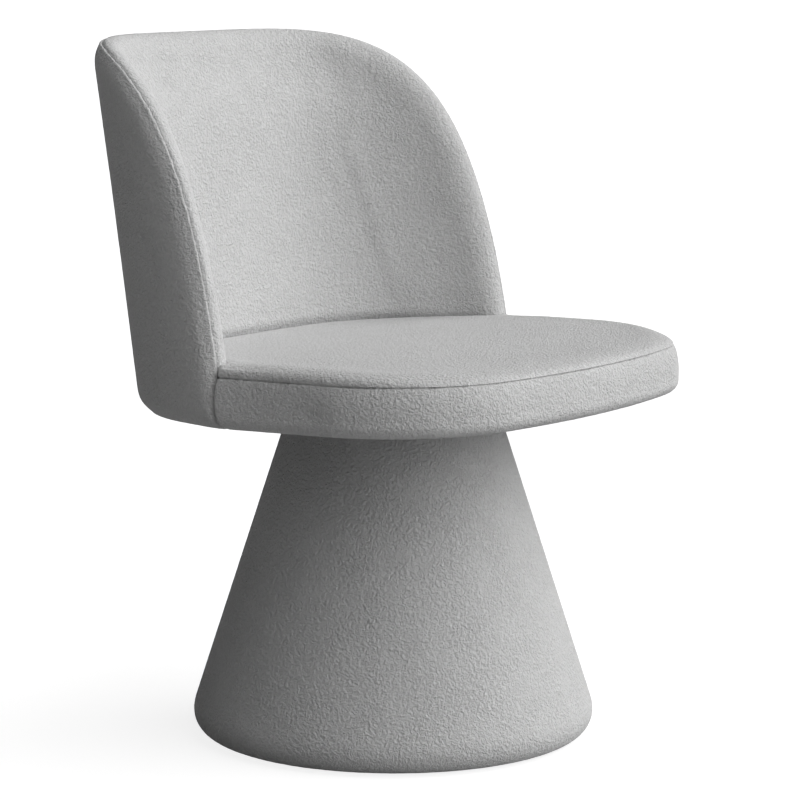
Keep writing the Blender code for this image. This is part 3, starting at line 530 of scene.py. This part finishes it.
def wing_edge(height):
    """How far back the seat reaches at the foremost line of the wing, which leans back with height."""
    half = len(arch_height) // 2
    angle = np.interp(height, arch_height[:half], arch_angle[:half])
    return float(barrel(np.array([angle]), np.array([height]))[0, 1]) - SEAT_SHOULDER_GAP


def wing_round(depth):
    """How far the wing's rounded edge falls back at a depth under its outer face."""
    outer, inner = RIM_OUTER_ROUND, RIM_INNER_ROUND
    outside = outer - np.sqrt(np.maximum(outer ** 2 - (outer - depth) ** 2, 0))
    inside = inner - np.sqrt(np.maximum(inner ** 2 - np.maximum(depth - BACK_WALL + inner, 0) ** 2, 0))
    return np.where(depth < outer, np.minimum(outside, OUTER_FILL), inside)


print("seat meets the wing at", round(wing_edge(0.0), 4))

# %% The outline's parts
FRONT_POINTS, CORNER_POINTS, REAR_POINTS = 60, 80, 200
REAR_ANGLE = 1.52


def arc_points(centre, radius, start, end, count):
    angles = np.linspace(start, end, count)
    return np.stack([centre[0] + radius * np.cos(angles), centre[1] + radius * np.sin(angles)], axis=-1)


def along_path(path, share):
    """Points at a share of a path's length."""
    run = np.concatenate([[0.0], np.cumsum(np.linalg.norm(np.diff(path, axis=0), axis=1))])
    return np.stack([np.interp(share * run[-1], run, path[:, axis]) for axis in (0, 1)], axis=-1)


def front_half(inset, height):
    """Half of the exposed outline, from the middle of the front round the corner to the shoulder."""
    taper = SEAT_SIDE_TAPER
    side = np.array([math.cos(taper), -math.sin(taper)])
    along = np.array([-math.sin(taper), -math.cos(taper)])
    wall = side @ np.array([SEAT_HALF_WIDTH, wing_edge(0.0)])
    bow = np.array([0, SEAT_FRONT_BOW - SEAT_FRONT])
    offset = side * (wall - SEAT_CORNER) - bow
    lean = offset @ along
    run = -lean + math.sqrt(lean ** 2 - offset @ offset + (SEAT_FRONT_BOW - SEAT_CORNER) ** 2)
    corner = side * (wall - SEAT_CORNER) + along * run
    meet = math.atan2(corner[1] - bow[1], corner[0] - bow[0])
    front = arc_points(bow, SEAT_FRONT_BOW - inset, -math.pi / 2, meet, FRONT_POINTS)
    round_corner = arc_points(corner, SEAT_CORNER - inset, meet, -taper, CORNER_POINTS)
    top = wing_edge(height) + OUTER_FILL - inset
    shoulder = side * (wall - inset)
    shoulder = shoulder + along * ((top - shoulder[1]) / along[1])
    return np.concatenate([front, round_corner[1:], shoulder[None]])


def rear_half(inset, height):
    """Half of the outline inside the back, from the shoulder line to the middle of the rear."""
    angles = np.linspace(REAR_ANGLE, 0, REAR_POINTS)
    heights = np.full_like(angles, height)
    wall = BACK_WALL * wall_share(barrel(angles, heights)[:, 1] - wing_edge(height))
    face = under_face(angles, heights, wall + SEAT_TO_BACK + inset)[:, :2]
    top = wing_edge(height) + RIM_INNER_ROUND - inset
    behind = face[:, 1] > top
    first = np.argmax(behind)
    share = (top - face[first - 1, 1]) / (face[first, 1] - face[first - 1, 1])
    start = face[first - 1] + (face[first] - face[first - 1]) * share
    return np.concatenate([start[None], face[first:]])


def shoulder_half(inset, height, between):
    """The outline that presses against the wing's edge, from its inner face (0) to its outer face (1)."""
    start, end = rear_half(inset, height)[0], front_half(inset, height)[-1]
    fall = wing_round(BACK_WALL * (1 - between))
    across = (1 - between) * wall_share(fall) / wall_share(RIM_INNER_ROUND)
    return np.stack([end[0] + (start[0] - end[0]) * across, wing_edge(height) - inset + fall], axis=-1)


def seat_border(u, w, inset, height):
    """Plan points of the seat's border at an inset and a height, for border points (u, w) of its grid."""
    front = front_half(inset, height)
    rear = rear_half(inset, height)
    out = np.abs(u)
    share = np.where(w <= -1 + TINY, FRONT_SPLIT * out,
                     FRONT_SPLIT + (1 - FRONT_SPLIT) * (w + 1) / (SHOULDER_W + 1))
    spot = along_path(front, np.clip(share, 0, 1))
    shoulder = shoulder_half(inset, height, np.clip((out - INNER_U) / (1 - INNER_U), 0, 1))
    back_share = np.where(w >= 1 - TINY, REAR_SPLIT + (1 - REAR_SPLIT) * (1 - out / INNER_U),
                          REAR_SPLIT * (w - SHOULDER_W) / (1 - SHOULDER_W))
    behind = along_path(rear, np.clip(back_share, 0, 1))
    on_shoulder = np.abs(w - SHOULDER_W) < TINY
    made = np.where((w < SHOULDER_W)[:, None], spot, np.where(on_shoulder[:, None], shoulder, behind))
    made[:, 0] *= np.where(u < 0, -1, 1)
    return made


print("shoulder at", front_half(0.0, 0.0)[-1].round(4), "rear at", rear_half(0.0, 0.0)[-1].round(4))

# %% [markdown]
# The top rises from the seam over a soft round and swells a little towards the middle. Against the back
# the round is tighter, because the cushion is pushed against the padding. The thread draws the seam in by
# some five millimetres, so the band bulges below it. It has a small round at its lower edge and turns in
# under the seat to be stapled. Each row of the skin is an inset from the outline and a height.

# %% Rows over the edge of the seat
SEAM_HEIGHT, EDGE_HEIGHT = 0.0555, 0.0725
TOP_ROUND, FRONT_POWER, SIDE_POWER = 0.046, 2.0, 2.8
SIDE_START, SIDE_LENGTH = -0.24, 0.12
REAR_ROUND, REAR_DROP = 0.012, 0.004
REAR_FALL, FALL_START, FALL_LENGTH = 0.010, -0.03, 0.26
FRONT_SHARE, FRONT_START, FRONT_LENGTH = 0.70, -0.08, 0.18
LOWER_ROUND, BAND_LIP = 0.014, 0.016
SEAM_INSET = 0.0055
TOP_INSETS = (0.0098, 0.0084, 0.0073, 0.0065, 0.0060, 0.0057)
SEAM_GROOVE = ((0.0058, 0.0567), (0.0063, 0.0561), (0.0079, 0.0555), (0.0060, 0.0549), (0.0050, 0.0538),
               (0.0040, 0.0515))
BAND_BULGE = ((0.0023, 0.0465), (0.0011, 0.0405), (0.0004, 0.0345), (0.0, 0.0285), (0.0, 0.0225),
              (0.0003, 0.0180))
LOWER_ROWS = 5
UNDER_INSET, UNDER_RISE = 0.0004, 0.0016
SEAT_SEAM_ROW = len(TOP_INSETS) + 1 + SEAM_GROOVE.index(max(SEAM_GROOVE))


def edge_rise(inset, back):
    """Height above the seam; the edge is fuller at the sides than at the front."""
    power = FRONT_POWER + (SIDE_POWER - FRONT_POWER) * smooth_step((back - SIDE_START) / SIDE_LENGTH)
    left = 1 - np.clip((inset - SEAM_INSET) / TOP_ROUND, 0, 1)
    return (EDGE_HEIGHT - SEAM_HEIGHT) * (1 - left ** power) ** (1 / power)


def tucked_drop(inset):
    return REAR_DROP * (1 - np.sqrt(1 - (1 - np.clip(inset / REAR_ROUND, 0, 1)) ** 2))


def rear_fall(back):
    """The top slopes down a little towards the back."""
    return REAR_FALL * np.clip((back - FALL_START) / FALL_LENGTH, 0, 1)


def rise_share(back):
    """The edge rises less at the front, where the knees go over it."""
    return 1 - (1 - FRONT_SHARE) * smooth_step((FRONT_START - back) / FRONT_LENGTH)


SEAT_ROWS = [(inset, SEAM_HEIGHT + float(edge_rise(inset, 0.0))) for inset in TOP_INSETS]
SEAT_ROWS += SEAM_GROOVE
SEAT_ROWS += BAND_BULGE
SEAT_ROWS += [(LOWER_ROUND * (1 - math.cos(step)), LOWER_ROUND * (1 - math.sin(step)))
              for step in np.linspace(0, math.pi / 2, LOWER_ROWS)]
SEAT_ROWS += [(BAND_LIP, 0.0), (BAND_LIP + UNDER_INSET, UNDER_RISE)]
print("rows over the edge", len(SEAT_ROWS), "seam at row", SEAT_SEAM_ROW)

# %% [markdown]
# A panel is filled between the curves of its four sides: each point is the blend of the two curves
# across, plus the blend of the two along, less the blend of the corners that both contain. The height
# of the top then follows from how far a point lies from the seam and from the back.

# %% Panels of the seat
SEAT_CROWN = 0.002
CROWN_HALF_WIDTH, CROWN_MIDDLE, CROWN_HALF_LENGTH = 0.29, -0.03, 0.26
SHOULDER_POINTS, TUCKED_POINTS, EXPOSED_POINTS = 60, 400, 500


def patch(u, w, low, high, half, border):
    """Fills a block of the grid between its four border curves."""
    a = (u / half + 1) / 2
    b = (w - low) / (high - low)
    flat = np.ones_like(u)
    bottom, top = border(u, low * flat), border(u, high * flat)
    left, right = border(-half * flat, w), border(half * flat, w)
    a, b = a[:, None], b[:, None]
    ends = [border(np.array([x]), np.array([y])) for y in (low, high) for x in (-half, half)]
    corners = (1 - a) * (1 - b) * ends[0] + a * (1 - b) * ends[1] + (1 - a) * b * ends[2] + a * b * ends[3]
    return (1 - b) * bottom + b * top + (1 - a) * left + a * right - corners


def panel_border(inset, height):
    """A panel's border in plan, with the shoulder line carried on across the seat between the wings."""
    def border(u, w):
        made = seat_border(u, w, inset, height)
        inner = seat_border(np.array([INNER_U]), np.array([SHOULDER_W]), inset, height)[0]
        across = (np.abs(w - SHOULDER_W) < TINY) & (np.abs(u) <= INNER_U)
        made[across] = np.stack([inner[0] * u[across] / INNER_U, inner[1] + 0 * u[across]], axis=-1)
        return made
    return border


def fill_panel(u, w, border):
    """Plan points of a whole panel: the wide block in front of the wings and the block between them."""
    plan = np.zeros((len(u), 2))
    front = w <= SHOULDER_W + TINY
    for block, low, high, half in ((front, -1.0, SHOULDER_W, 1.0), (~front, SHOULDER_W, 1.0, INNER_U)):
        plan[block] = patch(u[block], w[block], low, high, half, border)
    return plan


def nearest(points, path):
    gaps = np.full(len(points), 1e9)
    for spot in path:
        gaps = np.minimum(gaps, np.hypot(points[:, 0] - spot[0], points[:, 1] - spot[1]))
    return gaps


def one_side(points):
    """Plan points folded over the middle line, because the outline is drawn for one half."""
    return np.stack([np.abs(points[:, 0]), points[:, 1]], axis=-1)


def tucked_gap(points):
    """Distance in plan to the part of the outline that lies against the back and its wings."""
    shoulder = shoulder_half(0.0, EDGE_HEIGHT, np.linspace(1, 0, SHOULDER_POINTS))
    tucked = np.concatenate([shoulder, rear_half(0.0, EDGE_HEIGHT)])
    return nearest(one_side(points), along_path(tucked, np.linspace(0, 1, TUCKED_POINTS)))


def seat_top_height(plan):
    """Height of the seat's top over plan points."""
    exposed = along_path(front_half(0.0, SEAM_HEIGHT), np.linspace(0, 1, EXPOSED_POINTS))
    front_gap = nearest(one_side(plan), exposed)
    rear_gap = tucked_gap(plan)
    side = np.clip(1 - (plan[:, 0] / CROWN_HALF_WIDTH) ** 2, 0, 1)
    length = np.clip(1 - ((plan[:, 1] - CROWN_MIDDLE) / CROWN_HALF_LENGTH) ** 2, 0, 1)
    fall = tucked_drop(rear_gap) + rear_fall(plan[:, 1])
    rise = edge_rise(front_gap, plan[:, 1]) * rise_share(plan[:, 1])
    return SEAM_HEIGHT + rise - fall + SEAT_CROWN * side * length


print("top at the middle", seat_top_height(np.zeros((1, 2))).round(4))

# %% [markdown]
# The rows against the back keep to the padding and stay high, and the others follow the drawn-in seam.
# Last, the seat is levelled a little against the tilt that it shares with the back, less at its hem.

# %% Sewn skin of the seat
STRIP = 0.0115
TUCK_START = 0.6
SEAT_LEVEL, LEVEL_LINE = 0.012, -0.08
HEM_LEVEL = 0.3


def place_seat(flat):
    """Moves the flat skin, with its row number as height, to the seat's shape."""
    u, w, row = flat.T
    placed = np.zeros_like(flat)
    top, under = row < 0.5, row > len(SEAT_ROWS) - 0.5
    placed[top, :2] = fill_panel(u[top], w[top], panel_border(STRIP, EDGE_HEIGHT))
    placed[top, 2] = seat_top_height(placed[top, :2])
    placed[under, :2] = fill_panel(u[under], w[under], panel_border(*SEAT_ROWS[-1]))
    placed[under, 2] = SEAT_ROWS[-1][1]
    on_shoulder = np.clip((np.abs(u) - INNER_U) / (1 - INNER_U), 0, 1)
    against_wing = 1 - smooth_step((on_shoulder - TUCK_START) / (1 - TUCK_START))
    tucked = np.where(w < SHOULDER_W - TINY, 0.0, against_wing)
    for number, (inset, height) in enumerate(SEAT_ROWS[:-1], 1):
        here = np.abs(row - number) < 0.5
        pressed = max(inset - SEAM_INSET, 0)
        loose_plan = seat_border(u[here], w[here], inset, height)
        tucked_plan = seat_border(u[here], w[here], pressed, height)
        placed[here, :2] = loose_plan + (tucked_plan - loose_plan) * tucked[here][:, None]
        placed[here, 2] = height
        if number <= len(TOP_INSETS):
            back = placed[here, 1]
            placed[here, 2] = SEAM_HEIGHT + edge_rise(inset, back) * rise_share(back)
        if number < SEAT_SEAM_ROW - 1:
            tucked_height = EDGE_HEIGHT - tucked_drop(pressed) - rear_fall(placed[here, 1])
            placed[here, 2] += np.maximum(tucked_height - placed[here, 2], 0) * tucked[here]
    upper = HEM_LEVEL + (1 - HEM_LEVEL) * np.clip(placed[:, 2] / SEAM_HEIGHT, 0, 1)
    placed[:, 2] += SEAT_LEVEL * (placed[:, 1] - LEVEL_LINE) * upper
    return placed


def add_seat_panel(bm, height):
    """A square grid without its two rear corners, where the wings stand."""
    made = bmesh.ops.create_grid(bm, x_segments=SEAT_CELLS[0], y_segments=SEAT_CELLS[1], size=1,
                                 matrix=Matrix.Translation((0, 0, height)))
    middles = {face: face.calc_center_median() for vert in made["verts"] for face in vert.link_faces}
    corners = [face for face, spot in middles.items() if spot.y > SHOULDER_W and abs(spot.x) > INNER_U]
    bmesh.ops.delete(bm, geom=corners, context="FACES")


seat_bm = bmesh.new()
add_seat_panel(seat_bm, 0)
grow_rows(seat_bm, len(SEAT_ROWS))
add_seat_panel(seat_bm, len(SEAT_ROWS))
bmesh.ops.remove_doubles(seat_bm, verts=seat_bm.verts, dist=MERGE_GAP)
seat_flat = flat_points(seat_bm)
seat_skin = finish_skin("seat_upholstery", seat_bm, place_seat(seat_flat))
seat_skin.data.transform(SEAT_TO_WORLD)

# %% [markdown]
# The cone's cover is a tube of the same pile, pulled over thin foam, turned in under the foot and over
# the neck. A turned shape starts as half of its section. Here that is four corners, and the two that the
# padding rounds off are bevelled before the spin. A second section inside it is the fabric's back.

# %% Skin of the cone
CONE_FLOOR_RADIUS, CONE_NECK_RADIUS, CONE_HEIGHT = 0.2414, 0.1187, 0.379
CONE_SLOPE = (CONE_FLOOR_RADIUS - CONE_NECK_RADIUS) / CONE_HEIGHT
CONE_LEAN = math.atan(CONE_SLOPE)
CONE_LIP, CONE_HEM = 0.1047, 0.182
HEM_HEIGHT = 0.0012
FOOT_ROUND, NECK_ROUND = 0.030, 0.012
FABRIC = 0.002
CONE_SPIN = 220
CONE_ROWS, CONE_BEVEL = 56, 10
LINING_ROWS, LINING_BEVEL = 3, 4


def cone_corners(inset):
    """The section's four corners, from the neck's lip down to the hem, drawn in by an inset."""
    shift = inset / math.cos(CONE_LEAN)
    top, bottom = CONE_HEIGHT - inset, HEM_HEIGHT + inset
    neck = CONE_FLOOR_RADIUS - CONE_SLOPE * top - shift
    foot = CONE_FLOOR_RADIUS - CONE_SLOPE * bottom - shift
    return [(CONE_LIP, top), (neck, top), (foot, bottom), (CONE_HEM, bottom)]


def add_cone_section(bm, inset, rows, segments):
    """A chain of edges with its neck and foot corners rounded."""
    before = set(bm.edges)
    verts = [bm.verts.new((out, 0, height)) for out, height in cone_corners(inset)]
    for pair in zip(verts, verts[1:]):
        bm.edges.new(pair)
    neck = (NECK_ROUND - inset) * math.tan((math.pi / 2 - CONE_LEAN) / 2)
    foot = (FOOT_ROUND - inset) * math.tan((math.pi / 2 + CONE_LEAN) / 2)
    for vert, offset, count in ((verts[1], neck, segments // 2), (verts[2], foot, segments)):
        bmesh.ops.bevel(bm, geom=[vert], offset=offset, offset_type="OFFSET", affect="VERTICES",
                        segments=count, profile=0.5, material=-1)
    side = max((edge for edge in bm.edges if edge not in before), key=lambda edge: edge.calc_length())
    bmesh.ops.subdivide_edges(bm, edges=[side], cuts=rows)


cone_bm = bmesh.new()
add_cone_section(cone_bm, 0.0, CONE_ROWS, CONE_BEVEL)
add_cone_section(cone_bm, FABRIC, LINING_ROWS, LINING_BEVEL)
open_ends = [vert for vert in cone_bm.verts if len(vert.link_edges) == 1]
open_ends.sort(key=lambda vert: vert.co.x)
cone_bm.edges.new(open_ends[:2])
cone_bm.edges.new(open_ends[2:])
bmesh.ops.spin(cone_bm, geom=cone_bm.verts[:] + cone_bm.edges[:], cent=(0, 0, 0), axis=(0, 0, 1),
               angle=2 * math.pi, steps=CONE_SPIN, use_merge=True)
bmesh.ops.remove_doubles(cone_bm, verts=cone_bm.verts, dist=TINY)
cone_skin = finish_skin("cone_upholstery", cone_bm, flat_points(cone_bm))

# %% [markdown]
# A padded cover is never as flat as its pattern: the foam pushes it out between the seams, and the seams
# hold it in. Cloth simulation does just that. The seams, hems and hidden edges are held, a light
# pressure swells the rest for twenty frames, and a cap keeps any point from going further than the foam
# would push it. Then the shape is kept, the simulation is taken off, and the mesh is made finer.

# %% Cloth for the covers
PLUMP_FRAMES = 20
PLUMP_PRESSURE = 1.0
CLOTH_MASS, CLOTH_DAMPING, CLOTH_QUALITY = 0.15, 10, 2
HEM_ROWS = 3


def held_points(flat, seam_row, last_row):
    """Points that do not move: the three rows of the seam, and the rows past the last visible one."""
    rows = np.round(flat[:, 2])
    return np.flatnonzero((np.abs(rows - seam_row) < 1.5) | (rows > last_row))


def points_of(mesh):
    spots = np.zeros(len(mesh.vertices) * 3)
    mesh.vertices.foreach_get("co", spots)
    return spots.reshape(-1, 3)


def start_cloth(skin, held):
    skin.vertex_groups.new(name="held").add(held.tolist(), 1.0, "REPLACE")
    cloth = skin.modifiers.new("Plump", "CLOTH")
    cloth.settings.vertex_group_mass = "held"
    cloth.settings.mass = CLOTH_MASS
    cloth.settings.air_damping = CLOTH_DAMPING
    cloth.settings.quality = CLOTH_QUALITY
    cloth.collision_settings.use_collision = False
    cloth.settings.use_pressure = True
    cloth.settings.uniform_pressure_force = PLUMP_PRESSURE
    cloth.settings.effector_weights.gravity = 0
    cloth.point_cache.frame_start = 1
    cloth.point_cache.frame_end = PLUMP_FRAMES


back_held = held_points(back_flat, BACK_SEAM_ROW, back_row_count + 1)
seat_held = held_points(seat_flat, SEAT_SEAM_ROW, len(SEAT_ROWS) - HEM_ROWS)
print("held points", len(back_held), "of the back and", len(seat_held), "of the seat")

# %% Plump the covers
EASE_PASSES = 8
BACK_CAP, SEAT_CAP = 0.0025, 0.0030
CONTACT_REACH = 0.035
SEAM_ROWS = 3


def ease(mesh, move, held):
    """Averages each point's move with its neighbours', as thick foam spreads a push; held points stay."""
    ends = np.zeros(len(mesh.edges) * 2, dtype=int)
    mesh.edges.foreach_get("vertices", ends)
    first, second = ends[0::2], ends[1::2]
    count = np.bincount(ends, minlength=len(move))[:, None]
    for _ in range(EASE_PASSES):
        total = np.zeros_like(move)
        np.add.at(total, first, move[second])
        np.add.at(total, second, move[first])
        move = (move + total / count) / 2
        move[held] = 0
    return move


def keep_shape(skin, held, give, cap):
    """Takes the swollen shape over, with less move where a neighbour is close and none over the cap."""
    swollen = points_of(skin.evaluated_get(bpy.context.evaluated_depsgraph_get()).data)
    start = points_of(skin.data)
    move = ease(skin.data, swollen - start, held) * give[:, None]
    length = np.linalg.norm(move, axis=1, keepdims=True)
    move *= cap * np.tanh(length / cap) / np.maximum(length, 1e-9)
    skin.modifiers.clear()
    skin.vertex_groups.clear()
    skin.data.vertices.foreach_set("co", (start + move).ravel())
    skin.data.update()
    print(skin.name, "swelled by up to", round(float(length.max()) * 1000, 2), "mm, kept",
          round(float(np.linalg.norm(move, axis=1).max()) * 1000, 2), "mm")


above_seat = place_back(back_flat)[:, 2] - CONTACT_HEIGHT - ROLL_HEIGHT
inner_side = back_flat[:, 2] > BACK_SEAM_ROW + SEAM_ROWS
back_give = np.where(inner_side, smooth_step(above_seat / CONTACT_REACH), 1.0)
seat_give = smooth_step(tucked_gap(place_seat(seat_flat)) / CONTACT_REACH)
covers = ((back_skin, back_held, back_give, BACK_CAP), (seat_skin, seat_held, seat_give, SEAT_CAP))
for skin, held, give, cap in covers:
    start_cloth(skin, held)
for number in range(1, PLUMP_FRAMES + 1):
    scene.frame_set(number)
for skin, held, give, cap in covers:
    keep_shape(skin, held, give, cap)
scene.frame_set(1)

# %% [markdown]
# The fine mesh also carries the pile's larger lumps. A pile fabric is never smooth: the tufts stand up
# by a fraction of a millimetre. Moving the points in and out along their normals by noise gives an edge
# that is slightly rough in outline too, which a bump alone can't do. Along the seams the same is done more
# strongly and only outwards, so the stitches pull the pile into small uneven lumps.

# %% Refine the covers and raise the pile
PILE_LUMP, PILE_LUMP_SIZE = 0.00016, 0.0075
STITCH_LIFT, STITCH_SIZE = 0.0030, 0.0065
SEAM_FADE, SEAM_LEAST = 0.6, 0.01


def mark_seam(skin, flat, seam_row):
    """Stores how near each point is to the stitches; the finer mesh inherits the values."""
    marks = skin.data.attributes.new("seam", "FLOAT", "POINT")
    gap = np.abs(np.round(flat[:, 2]) - seam_row)
    marks.data.foreach_set("value", np.clip(1 - SEAM_FADE * gap, 0, 1))


def refine(skin):
    step = skin.modifiers.new("Refine", "SUBSURF")
    step.levels = 1
    step.render_levels = 1
    finer = bpy.data.meshes.new_from_object(skin.evaluated_get(bpy.context.evaluated_depsgraph_get()))
    skin.modifiers.clear()
    coarse = skin.data
    skin.data = finer
    bpy.data.meshes.remove(coarse)
    finer.name = skin.name


def raise_pile(skin):
    mesh = skin.data
    spots = points_of(mesh)
    normals = np.zeros(len(mesh.vertices) * 3)
    mesh.vertices.foreach_get("normal", normals)
    lift = PILE_LUMP * np.array([noise.noise(Vector(spot) / PILE_LUMP_SIZE) for spot in spots])
    if "seam" in mesh.attributes:
        seam = np.zeros(len(spots))
        mesh.attributes["seam"].data.foreach_get("value", seam)
        for index in np.flatnonzero(seam > SEAM_LEAST):
            stitch = max(noise.noise(Vector(spots[index]) / STITCH_SIZE), 0)
            lift[index] += STITCH_LIFT * seam[index] * stitch
    mesh.vertices.foreach_set("co", (spots + normals.reshape(-1, 3) * lift[:, None]).ravel())
    mesh.update()


mark_seam(back_skin, back_flat, BACK_SEAM_ROW)
mark_seam(seat_skin, seat_flat, SEAT_SEAM_ROW)
for skin in (back_skin, seat_skin, cone_skin):
    refine(skin)
    raise_pile(skin)
    print(skin.name, len(skin.data.polygons), "faces")

# %% [markdown]
# Under the cover the chair is boards, steel, nylon and felt. Nobody sees much of it, but the part is also
# opened up and turned over, so every finish gets its own material. Most of them share one effect: a fine
# speckle that makes a surface slightly uneven in colour, shine and height. It is one node group with a
# scale for each material.

# %% Fine speckle as a node group
SPECK_SHARE, CLOUD_SHARE = 0.65, 0.35
CLOUD_SCALE = 14.0


def make_speckle_group():
    tree, given, result, place = new_group(
        "fine_speckle",
        {"Light": grey(0.7), "Dark": grey(0.5), "Scale": 400.0, "Smooth": 0.3, "Rough": 0.5},
        {"Color": COLOUR, "Roughness": NUMBER, "Height": NUMBER})
    speck = noise_node(tree, place, given["Scale"], detail=4.0)
    cloud = noise_node(tree, place, CLOUD_SCALE, detail=3.0)
    mask = spread(tree, weighted_sum(tree, speck, SPECK_SHARE, cloud, CLOUD_SHARE), 0.36, 0.64)
    shine = tree.nodes.new("ShaderNodeMix")
    feed(shine, {"Factor": mask, 2: given["Smooth"], 3: given["Rough"]})
    shade = colour_mix(tree, mask, given["Dark"], given["Light"])
    feed(result, {"Color": shade, "Roughness": shine.outputs[0], "Height": speck})
    return tree


speckle_group = make_speckle_group()
print("speckle group", len(speckle_group.nodes), "nodes")

# %% [markdown]
# Plywood shows long grain on its faces and thin alternating layers on its edges. Noise stretched along the
# board's length makes the grain. Stripes along its thickness make the layers, and because a flat face has
# one height they show only on the edges, as on real plywood.

# %% Plywood as a node group
VENEER = 0.0028
GRAIN_STRETCH = (6.0, 110.0, 110.0)
GRAIN_SHARE = 0.6
LAYER_SHARE, LAYER_MIDDLE = 0.22, 0.28


def make_plywood_group():
    tree, given, result, place = new_group(
        "plywood_layers", {"Pale": (0.70, 0.53, 0.34, 1), "Deep": (0.50, 0.34, 0.19, 1)},
        {"Color": COLOUR, "Height": NUMBER})
    stretch = tree.nodes.new("ShaderNodeMapping")
    feed(stretch, {"Vector": place, "Scale": GRAIN_STRETCH})
    grain = noise_node(tree, stretch.outputs["Vector"], 1.0, detail=5.0, roughness=0.6, distortion=0.4)
    streak = math_node(tree, "MULTIPLY", spread(tree, grain, 0.3, 0.7), GRAIN_SHARE)
    parts = tree.nodes.new("ShaderNodeSeparateXYZ")
    feed(parts, {"Vector": place})
    wave = math_node(tree, "SINE", math_node(tree, "MULTIPLY", parts.outputs["Z"], math.pi / VENEER))
    layer = math_node(tree, "ADD", math_node(tree, "MULTIPLY", wave, LAYER_SHARE), LAYER_MIDDLE)
    mask = math_node(tree, "ADD", streak, layer, clamp=True)
    feed(result, {"Color": colour_mix(tree, mask, given["Pale"], given["Deep"]), "Height": grain})
    return tree


plywood_group = make_plywood_group()
print("plywood group", len(plywood_group.nodes), "nodes")

# %% [markdown]
# Each finish is then a few values. Metals differ in colour and in how evenly they shine: zinc plating is
# cloudy, a bearing ball is polished, powder coat is dull and slightly pebbled. Felt and lining are rough
# fibres. The record says which finish each piece has, so a loop dresses all the pieces that still show.

# %% Finishes of the boards, metals and linings
RELIEF_STRENGTH = 0.5
PLYWOOD_RELIEF = 0.0003
NYLON_LIGHT, NYLON_DARK = (0.77, 0.76, 0.71, 1), (0.69, 0.67, 0.62, 1)
# Slot, material, light and dark colour, scale, least and most roughness, metallic, relief in metres.
SPECKLED_FINISHES = (
    ("zinc_plated_steel", "zinc_plate", grey(0.64), grey(0.50), 160.0, 0.26, 0.44, 1.0, 0.00005),
    ("bearing_steel", "polished_steel", grey(0.74), grey(0.66), 90.0, 0.07, 0.16, 1.0, 0.00001),
    ("black_painted_steel", "black_powder_coat", grey(0.045), grey(0.026), 900.0, 0.42, 0.58, 0.0, 0.0001),
    ("felt", "dark_felt", grey(0.15), grey(0.07), 1400.0, 0.92, 1.0, 0.0, 0.0004),
    ("black_lining", "black_lining_cloth", grey(0.055), grey(0.022), 2200.0, 0.85, 0.98, 0.0, 0.0002),
    ("nylon", "natural_nylon", NYLON_LIGHT, NYLON_DARK, 300.0, 0.34, 0.46, 0.0, 0.00005),
)


def speckled(name, light, dark, scale, smooth, rough, metallic, relief):
    made, tree, shader = new_material(name)
    values = {"Light": light, "Dark": dark, "Scale": scale, "Smooth": smooth, "Rough": rough}
    speckle = place_group(tree, speckle_group, values)
    feed(shader, {"Base Color": speckle["Color"], "Roughness": speckle["Roughness"], "Metallic": metallic,
                  "Normal": bump_node(tree, speckle["Height"], relief, RELIEF_STRENGTH)})
    return made


def bare_plywood():
    made, tree, shader = new_material("bare_plywood")
    layers = place_group(tree, plywood_group, {})
    feed(shader, {"Base Color": layers["Color"], "Roughness": 0.65,
                  "Normal": bump_node(tree, layers["Height"], PLYWOOD_RELIEF, RELIEF_STRENGTH)})
    return made


finishes = {slot: speckled(*values) for slot, *values in SPECKLED_FINISHES}
finishes["plywood"] = bare_plywood()
dressed = 0
for part in frame["record"]["subparts"]:
    finish = finishes.get(part["material_slot"])
    if finish:
        for place in frame["nodes"][part["node"]].material_slots:
            place.material = finish
        dressed += 1
print("dressed", dressed, "pieces in", len(finishes), "finishes")

# %% [markdown]
# Each cover rides with the body that it is stapled to, and stands for the foam and fabric solids of the
# imported model.

# %% Ride and finish
BACK_SOLIDS = ("back_inner_cover", "back_outer_cover", "back_inner_foam", "back_outer_foam")
SEAT_SOLIDS = ("seat_top_panel", "seat_band", "seat_foam", "seat_edge_foam")
CONE_SOLIDS = ("cone_cover", "cone_foam")

for skin, body, nodes in ((back_skin, "seat", BACK_SOLIDS), (seat_skin, "seat", SEAT_SOLIDS),
                          (cone_skin, "base", CONE_SOLIDS)):
    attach(skin, body)
    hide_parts(*nodes)
